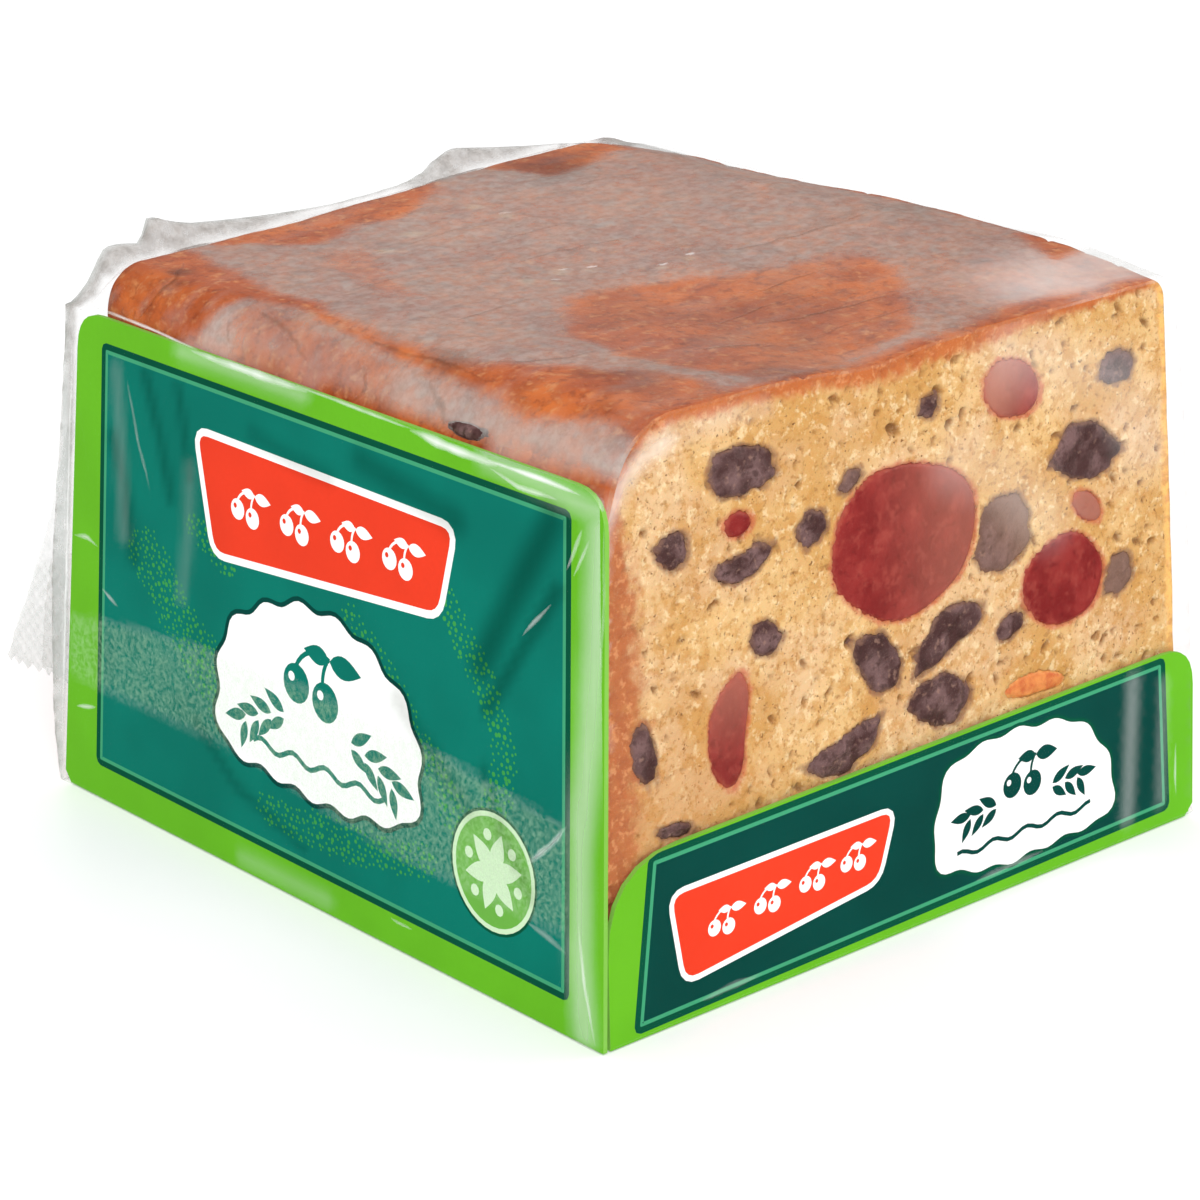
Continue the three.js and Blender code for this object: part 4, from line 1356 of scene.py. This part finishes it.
def make_seal(material):
    """The crimped seal folded down over the back, and the two flaps that its ends make."""
    builder = Builder()
    add_flap(builder, SEAL.left - GAP, 1.0)
    add_flap(builder, SEAL.right + GAP, 0.8)
    z, x = np.meshgrid(
        np.linspace(SEAL.bottom, SEAL.top, 26), np.linspace(SEAL.left, SEAL.right, 260), indexing="ij")
    low = 1 - smoothstep(z, SEAL.bottom, SEAL.bottom + 1.6)
    z = z + SEAL.tooth * zigzag((x - SEAL.left) / SEAL.pitch) * low
    slope = SEAL.stand / (SEAL.top - SEAL.bottom)
    crimped = crimp(x, z, 2.2)
    uneven = 0.2 * noise(np.stack([x, 0 * x, z], axis=-1), 6, 68)
    y = SEAL.y + (SEAL.top - z) * slope + 0.25 * crimped + uneven
    add_sheet(builder, np.stack([x, y, z], axis=-1), 0.14 + 0.16 * crimped, flip=True)
    return builder.build("film_seal", [material])


# ---------------------------------------------------------------- materials

def srgb(red, green, blue):
    """A colour seen as these values of 255, as the shader's linear numbers."""
    def linear(v):
        v = v / 255
        return v / 12.92 if v <= 0.04045 else ((v + 0.055) / 1.055) ** 2.4
    return (linear(red), linear(green), linear(blue), 1.0)


class Shader:
    """A short way to write a node material."""

    def __init__(self, name):
        self.material = bpy.data.materials.new(name)
        self.material.use_nodes = True
        self.tree = self.material.node_tree
        self.tree.nodes.clear()
        self.output = self.tree.nodes.new("ShaderNodeOutputMaterial")
        self.place = self.tree.nodes.new("ShaderNodeTexCoord").outputs["Object"]

    def node(self, kind, inputs=None, **settings):
        made = self.tree.nodes.new(kind)
        for key, value in settings.items():
            setattr(made, key, value)
        for key, value in (inputs or {}).items():
            self.set(made.inputs[key], value)
        return made

    def set(self, socket, value):
        if isinstance(value, bpy.types.NodeSocket):
            self.tree.links.new(value, socket)
        else:
            socket.default_value = value

    def noise(self, size, detail=3, roughness=0.55, stretch=None):
        """Noise from 0 to 1 with features of the given size in mm."""
        place = self.place
        if stretch:
            place = self.node("ShaderNodeMapping", {"Vector": place, "Scale": stretch}).outputs["Vector"]
        inputs = {"Vector": place, "Scale": 1 / (size * MM), "Detail": detail, "Roughness": roughness}
        return self.node("ShaderNodeTexNoise", inputs).outputs["Fac"]

    def value(self, name):
        return self.node("ShaderNodeAttribute", attribute_name=name).outputs["Fac"]

    def ramp(self, fac, low, high):
        """0 below low, 1 above high."""
        return self.node("ShaderNodeMapRange", {"Value": fac, "From Min": low, "From Max": high},
                         interpolation_type="SMOOTHSTEP").outputs["Result"]

    def math(self, operation, a, b, clamp=False):
        made = self.node("ShaderNodeMath", operation=operation, use_clamp=clamp)
        self.set(made.inputs[0], a)
        self.set(made.inputs[1], b)
        return made.outputs[0]

    def times(self, a, b, clamp=False):
        return self.math("MULTIPLY", a, b, clamp)

    def mix(self, fac, a, b):
        made = self.node("ShaderNodeMix", data_type="RGBA")
        self.set(made.inputs[0], fac)
        self.set(made.inputs[6], a)
        self.set(made.inputs[7], b)
        return made.outputs[2]

    def blend(self, colour, fac, amount, other):
        """The colour, turned by an amount into another where fac is 1."""
        return self.mix(self.times(fac, amount), colour, other)

    def patches(self, first, second, size, low, high, detail=3, roughness=0.55):
        """Patches of two colours: the first where the noise is under low, the second where it is over
        high."""
        fac = self.ramp(self.noise(size, detail, roughness), low, high)
        return self.mix(fac, srgb(*first), srgb(*second))

    def specks(self, colour, *layers):
        """The colour with specks on it, in layers: the colour of each, its amount, the size of the noise,
        the noise where it starts and where it is full, and the noise's detail and roughness."""
        for other, amount, size, low, high, detail, roughness in layers:
            fac = self.ramp(self.noise(size, detail, roughness), low, high)
            colour = self.blend(colour, fac, amount, srgb(*other))
        return colour

    def fray(self, size, amount, roughness=0.55):
        """Noise that makes the border of a value ragged."""
        return self.times(self.math("SUBTRACT", self.noise(size, 3, roughness), 0.5), amount)

    def frayed(self, name, fray, low, high):
        return self.ramp(self.math("ADD", self.value(name), fray), low, high)

    def bump(self, height, distance, strength):
        inputs = {"Height": height, "Distance": distance * MM, "Strength": strength}
        return self.node("ShaderNodeBump", inputs).outputs["Normal"]

    def principled(self, colour, roughness, specular, **more):
        inputs = {"Base Color": colour, "Roughness": roughness, "Specular IOR Level": specular, **more}
        return self.node("ShaderNodeBsdfPrincipled", inputs).outputs[0]

    def finish(self, shader):
        self.tree.links.new(shader, self.output.inputs["Surface"])
        return self.material


SOFT = {"Subsurface Weight": 0.1, "Subsurface Scale": 1.0 * MM}


def crust_material():
    """Baked crust: tan where it is thin, brown where it is thick, with dark grains."""
    s = Shader("crust")
    colour = s.specks(
        s.patches((176, 84, 40), (206, 110, 50), 9, 0.36, 0.66),
        ((144, 66, 36), 0.5, 3.2, 0.46, 0.64, 4, 0.65),
        ((120, 54, 32), 0.5, 1.3, 0.50, 0.68, 4, 0.7),
        ((222, 146, 88), 0.45, 1.6, 0.52, 0.72, 3, 0.6),
        ((228, 162, 112), 0.2, 0.8, 0.52, 0.74, 3, 0.55))
    colour = s.blend(colour, s.value("scorched"), 1.0, srgb(84, 36, 24))
    colour = s.blend(colour, s.value("crumbs"), 0.7, srgb(222, 190, 150))
    normal = s.bump(s.noise(0.8, 4, 0.6), 0.2, 0.8)
    return s.finish(s.principled(colour, 0.6, 0.2, Normal=normal))


def crumb_material():
    """The cut face: pale and dark crumb with painted shade in its pores and pinkish patches of painted film
    reflection, stained round the fruit, and baked at its rim.
    """
    s = Shader("crumb")
    x, _, z = s.node("ShaderNodeSeparateXYZ", {0: s.place}).outputs
    colour = s.patches((203, 154, 90), (221, 181, 124), 9, 0.36, 0.64, 2)
    # pinkish patches of painted film reflection over the crumb
    film_sheen_patches = s.noise(13, 2, stretch=(1, 1, 1.3))
    colour = s.specks(
        s.blend(colour, s.ramp(film_sheen_patches, 0.46, 0.62), 0.45, srgb(219, 184, 150)),
        ((193, 138, 70), 0.6, 1.7, 0.46, 0.62, 4, 0.66),
        ((241, 217, 172), 0.55, 1.1, 0.53, 0.66, 4, 0.66),
        ((162, 112, 58), 0.6, 0.6, 0.55, 0.67, 3, 0.6),
        # the darkest specks are the finest pores: painted shade
        ((104, 66, 32), 0.8, 0.45, 0.66, 0.74, 2, 0.5))
    lower_left = s.times(s.ramp(z, 36 * MM, 14 * MM), s.ramp(x, -8 * MM, -34 * MM))
    colour = s.blend(colour, lower_left, 0.6, srgb(184, 122, 56))
    # painted shade in the pores
    colour = s.blend(colour, s.value("pore"), 0.8, srgb(122, 76, 36))
    fray = s.fray(1.3, 1.2)
    colour = s.blend(colour, s.frayed("red_stain", fray, 0.2, 1.1), 0.7, srgb(188, 84, 64))
    colour = s.blend(colour, s.frayed("dark_stain", fray, 0.35, 1.1), 0.75, srgb(128, 92, 74))
    baked = s.mix(s.value("left"), srgb(190, 106, 56), srgb(180, 106, 64))
    baked = s.specks(
        s.mix(s.ramp(x, 33 * MM, 36 * MM), baked, srgb(238, 186, 110)),
        ((160, 88, 56), 0.4, 1.4, 0.45, 0.62, 3, 0.65),
        ((222, 156, 106), 0.5, 0.9, 0.52, 0.66, 3, 0.65))
    colour = s.mix(s.frayed("rim", fray, 0.05, 1.0), colour, baked)
    normal = s.bump(s.noise(0.7, 4, 0.62), 0.22, 0.9)
    return s.finish(s.principled(colour, 0.78, 0.15, Normal=normal, **SOFT))


def crumbed(s, colour, amount, crumb):
    """Lets a fruit's edge take on the colour of the crumb, in a ragged way."""
    return s.blend(colour, s.frayed("edge", s.fray(0.9, 1.6, 0.6), 0.35, 1.1), amount, srgb(*crumb))


def cherry_material():
    s = Shader("glace_cherry")
    colour = s.specks(
        s.patches((126, 28, 28), (150, 46, 42), 4, 0.35, 0.68),
        ((172, 76, 64), 0.4, 1.3, 0.50, 0.70, 3, 0.6),
        ((104, 18, 18), 0.5, 0.8, 0.56, 0.70, 3, 0.55))
    colour = s.mix(s.value("tone"), colour, srgb(186, 128, 106))
    colour = crumbed(s, colour, 0.5, (186, 96, 74))
    normal = s.bump(s.noise(1.6, 4, 0.5), 0.22, 0.6)
    return s.finish(s.principled(colour, 0.4, 0.2, Normal=normal, **SOFT))


def raisin_material():
    s = Shader("raisin_flesh")
    colour = s.specks(
        s.patches((78, 50, 48), (124, 94, 92), 2.0, 0.36, 0.64),
        ((58, 34, 30), 0.65, 1.0, 0.48, 0.66, 3, 0.6),
        ((160, 124, 108), 0.5, 0.8, 0.58, 0.72, 3, 0.55))
    colour = s.mix(s.value("tone"), colour, srgb(146, 112, 94))
    colour = crumbed(s, colour, 0.75, (134, 98, 80))
    normal = s.bump(s.noise(0.9, 4, 0.6), 0.3, 0.9)
    return s.finish(s.principled(colour, 0.45, 0.2, Normal=normal))


def peel_material():
    s = Shader("candied_peel")
    colour = s.patches((200, 100, 52), (226, 142, 76), 1.6, 0.35, 0.68)
    colour = crumbed(s, colour, 0.7, (232, 176, 104))
    normal = s.bump(s.noise(0.8, 3, 0.5), 0.2, 0.7)
    return s.finish(s.principled(colour, 0.45, 0.25, Normal=normal, **SOFT))


def ink_material(name, colour, darker):
    """Printed card: a colour with the faint unevenness of ink on board."""
    s = Shader("ink_" + name)
    colour = srgb(*colour)

    def dimmed(share):
        return tuple(c * share for c in colour[:3]) + (1.0,)
    tint = s.mix(s.ramp(s.noise(14, 2), 0.35, 0.65), colour, dimmed(darker))
    tint = s.blend(tint, s.ramp(s.noise(0.5, 2), 0.4, 0.7), 0.12, dimmed(0.8))
    return s.finish(s.principled(tint, 0.5, 0.05, Normal=s.bump(s.noise(0.5, 3), 0.02, 0.5)))


# A painted reflection: the film is whitened by this much where it is seen edge on.
EDGE_ON_SHEEN = 0.2          # how white the film is where it is seen edge on


def film_material():
    """Thin clear film: see-through, whitened by a painted reflection where seen edge on, cloudy where it
    stands off greasy crust, with a painted reflection in that veil on the top, painted white highlights
    along its creases and painted shade in its folds."""
    s = Shader("clear_film")
    cloud = s.times(s.ramp(s.noise(1.6, 5, 0.72), 0.34, 0.66), 0.4)
    # the cloudy veil, a painted reflection where it lies over the top
    milky = s.times(s.value("milky"), s.math("ADD", 0.78, cloud), clamp=True)
    # the band along the panel is a painted reflection, broken up by a scratchy grain
    sheen_grain = s.times(s.ramp(s.noise(0.55, 4, 0.75), 0.36, 0.66), 0.24)
    net = s.times(s.value("net"), s.math("ADD", 0.03, sheen_grain))
    # painted reflection of the white studio where the film is seen edge on
    facing = s.node("ShaderNodeLayerWeight", {"Blend": 0.5}).outputs["Facing"]
    slant_sheen = s.times(s.math("POWER", facing, 8.0), EDGE_ON_SHEEN)
    white = s.math("MAXIMUM", s.math("MAXIMUM", s.value("crease"), net), slant_sheen)
    seen_through = s.times(s.math("SUBTRACT", 1.0, milky), s.math("SUBTRACT", 1.0, white))
    cover = s.math("SUBTRACT", 1.0, seen_through, clamp=True)
    highlight_share = s.math("DIVIDE", white, s.math("MAXIMUM", cover, 0.001), clamp=True)
    # the veil's colour, which on the top stands for the reflected studio light
    haze = s.patches((142, 136, 130), (162, 156, 150), 1.1, 0.38, 0.62, 4, 0.65)
    back = s.ramp(s.node("ShaderNodeSeparateXYZ", {0: s.place}).outputs[1], 41 * MM, 43 * MM)
    haze = s.mix(back, haze, srgb(176, 182, 177))
    # the colour of the painted highlights, greenish in the panel's band
    highlight_colour = s.mix(s.value("net"), srgb(250, 252, 250), srgb(190, 222, 180))
    normal = s.bump(s.noise(3.0, 3, 0.55, stretch=(0.5, 1.0, 1.0)), 0.2, 0.6)
    veil = s.principled(s.mix(highlight_share, haze, highlight_colour), 0.4, 0.1, Normal=normal)
    # painted shade: the film darkens what shows through it along its folds
    through = s.mix(s.value("shade"), (1, 1, 1, 1), (0.42, 0.41, 0.38, 1))
    clear = s.node("ShaderNodeBsdfTransparent", {"Color": through}).outputs[0]
    return s.finish(s.node("ShaderNodeMixShader", {0: cover, 1: clear, 2: veil}).outputs[0])


# ---------------------------------------------------------------- stage, lights and camera

def make_stage():
    s = Shader("pale_floor")
    colour = s.mix(s.noise(60, 2), (0.93, 0.93, 0.93, 1), (0.95, 0.95, 0.95, 1))
    glow = {"Emission Color": (1, 1, 1, 1), "Emission Strength": 0.1}
    floor_material = s.finish(s.principled(colour, 0.8, 0.1, **glow))
    half = 3000
    z = FILM.underside - 0.1
    points = [(-half, -half, z), (half, -half, z), (half, half, z), (-half, half, z)]
    floor = make_piece("floor", points, [(0, 1, 2, 3)], [floor_material])
    floor.visible_glossy = False
    world = bpy.data.worlds.new("studio")
    bpy.context.scene.world = world
    world.use_nodes = True
    sky = world.node_tree.nodes["Background"].inputs
    sky["Color"].default_value = (1, 1, 1, 1)
    sky["Strength"].default_value = 0.75
    world.cycles_visibility.glossy = False


def aimed(name, data, place, aim):
    """An object with that data, at a place in metres, that looks at another place."""
    thing = bpy.data.objects.new(name, data)
    thing.location = place
    thing.rotation_euler = (Vector(aim) - Vector(place)).to_track_quat("-Z", "Y").to_euler()
    bpy.context.scene.collection.objects.link(thing)
    return thing


def area_light(name, place, size, energy):
    """A round light that points at the middle of the pack."""
    data = bpy.data.lights.new(name, "AREA")
    data.shape = "DISK"
    data.size = size
    data.energy = energy
    aimed(name, data, place, (0, 0, 0.03))


def make_lights():
    area_light("key", (-0.55, -0.75, 0.85), 0.5, 8)
    area_light("rim", (0.5, 0.7, 0.6), 0.4, 1.2)
    area_light("fill", (0.8, -0.6, 0.4), 0.5, 1.5)


CAMERA = Sizes(place=(-0.24602, -0.27054, 0.15616), aim=(0.00267, 0.00738, 0.01993), lens=111.03)


def make_camera():
    data = bpy.data.cameras.new("camera")
    data.lens = CAMERA.lens
    data.sensor_width = 36
    data.clip_start = 0.01
    bpy.context.scene.camera = aimed("camera", data, CAMERA.place, CAMERA.aim)


def set_view():
    scene = bpy.context.scene
    scene.view_settings.view_transform = "Standard"
    scene.cycles.transparent_max_bounces = 24


# ---------------------------------------------------------------- assembly

# How pale or dull some fruit are: from 0 to 1, even or changing across the fruit.
CHERRY_TONES = {
    0: shaded_tone(0.0, 0.35, 10), 2: shaded_tone(0.7, 0.1, 0), 3: shaded_tone(0.05, 0.4, 0),
    5: even_tone(0.6)}
RAISIN_TONES = {5: shaded_tone(0.35, 0.9, 60), 7: even_tone(0.6), 17: even_tone(0.25)}


def numbered(name, fruits):
    return [f"{name}_{i + 1}" for i in range(len(fruits))]


def build():
    kinds = lay_out_fruit()
    wear(make_cake(kinds, [crust_material(), crumb_material()]), ["cake"])

    cherries = Builder()
    for i, fruit in enumerate(kinds["cherry"]):
        add_fruit(cherries, fruit, 0.2 if i else 0.3, 0.08, CHERRY_TONES.get(i, even_tone(0.0)))
    wear(cherries.build("cherries", [cherry_material()]), numbered("cherry", CHERRIES))

    raisins = Builder()
    for i, fruit in enumerate(kinds["raisin"]):
        add_fruit(raisins, fruit, 0.12, 0.28, RAISIN_TONES.get(i, even_tone(0.0)))
    add_side_raisin(raisins)
    nodes = numbered("raisin", RAISINS) + ["raisin_side"]
    wear(raisins.build("raisins", [raisin_material()]), nodes)

    peels = Builder()
    for fruit in kinds["peel"]:
        add_fruit(peels, fruit, 0.12, 0.1, even_tone(0.0))
    wear(peels.build("peel_strip", [peel_material()]), numbered("peel", PEELS))

    wear(make_card([ink_material(name, *INK_COLOURS[name]) for name in INKS]), ["card_tray"])
    film = film_material()
    for piece in (make_film(film), make_seal(film)):
        wear(piece, ["film_end"])
        piece.visible_shadow = False
        piece.visible_diffuse = False


build()
make_stage()
make_lights()
make_camera()
set_view()
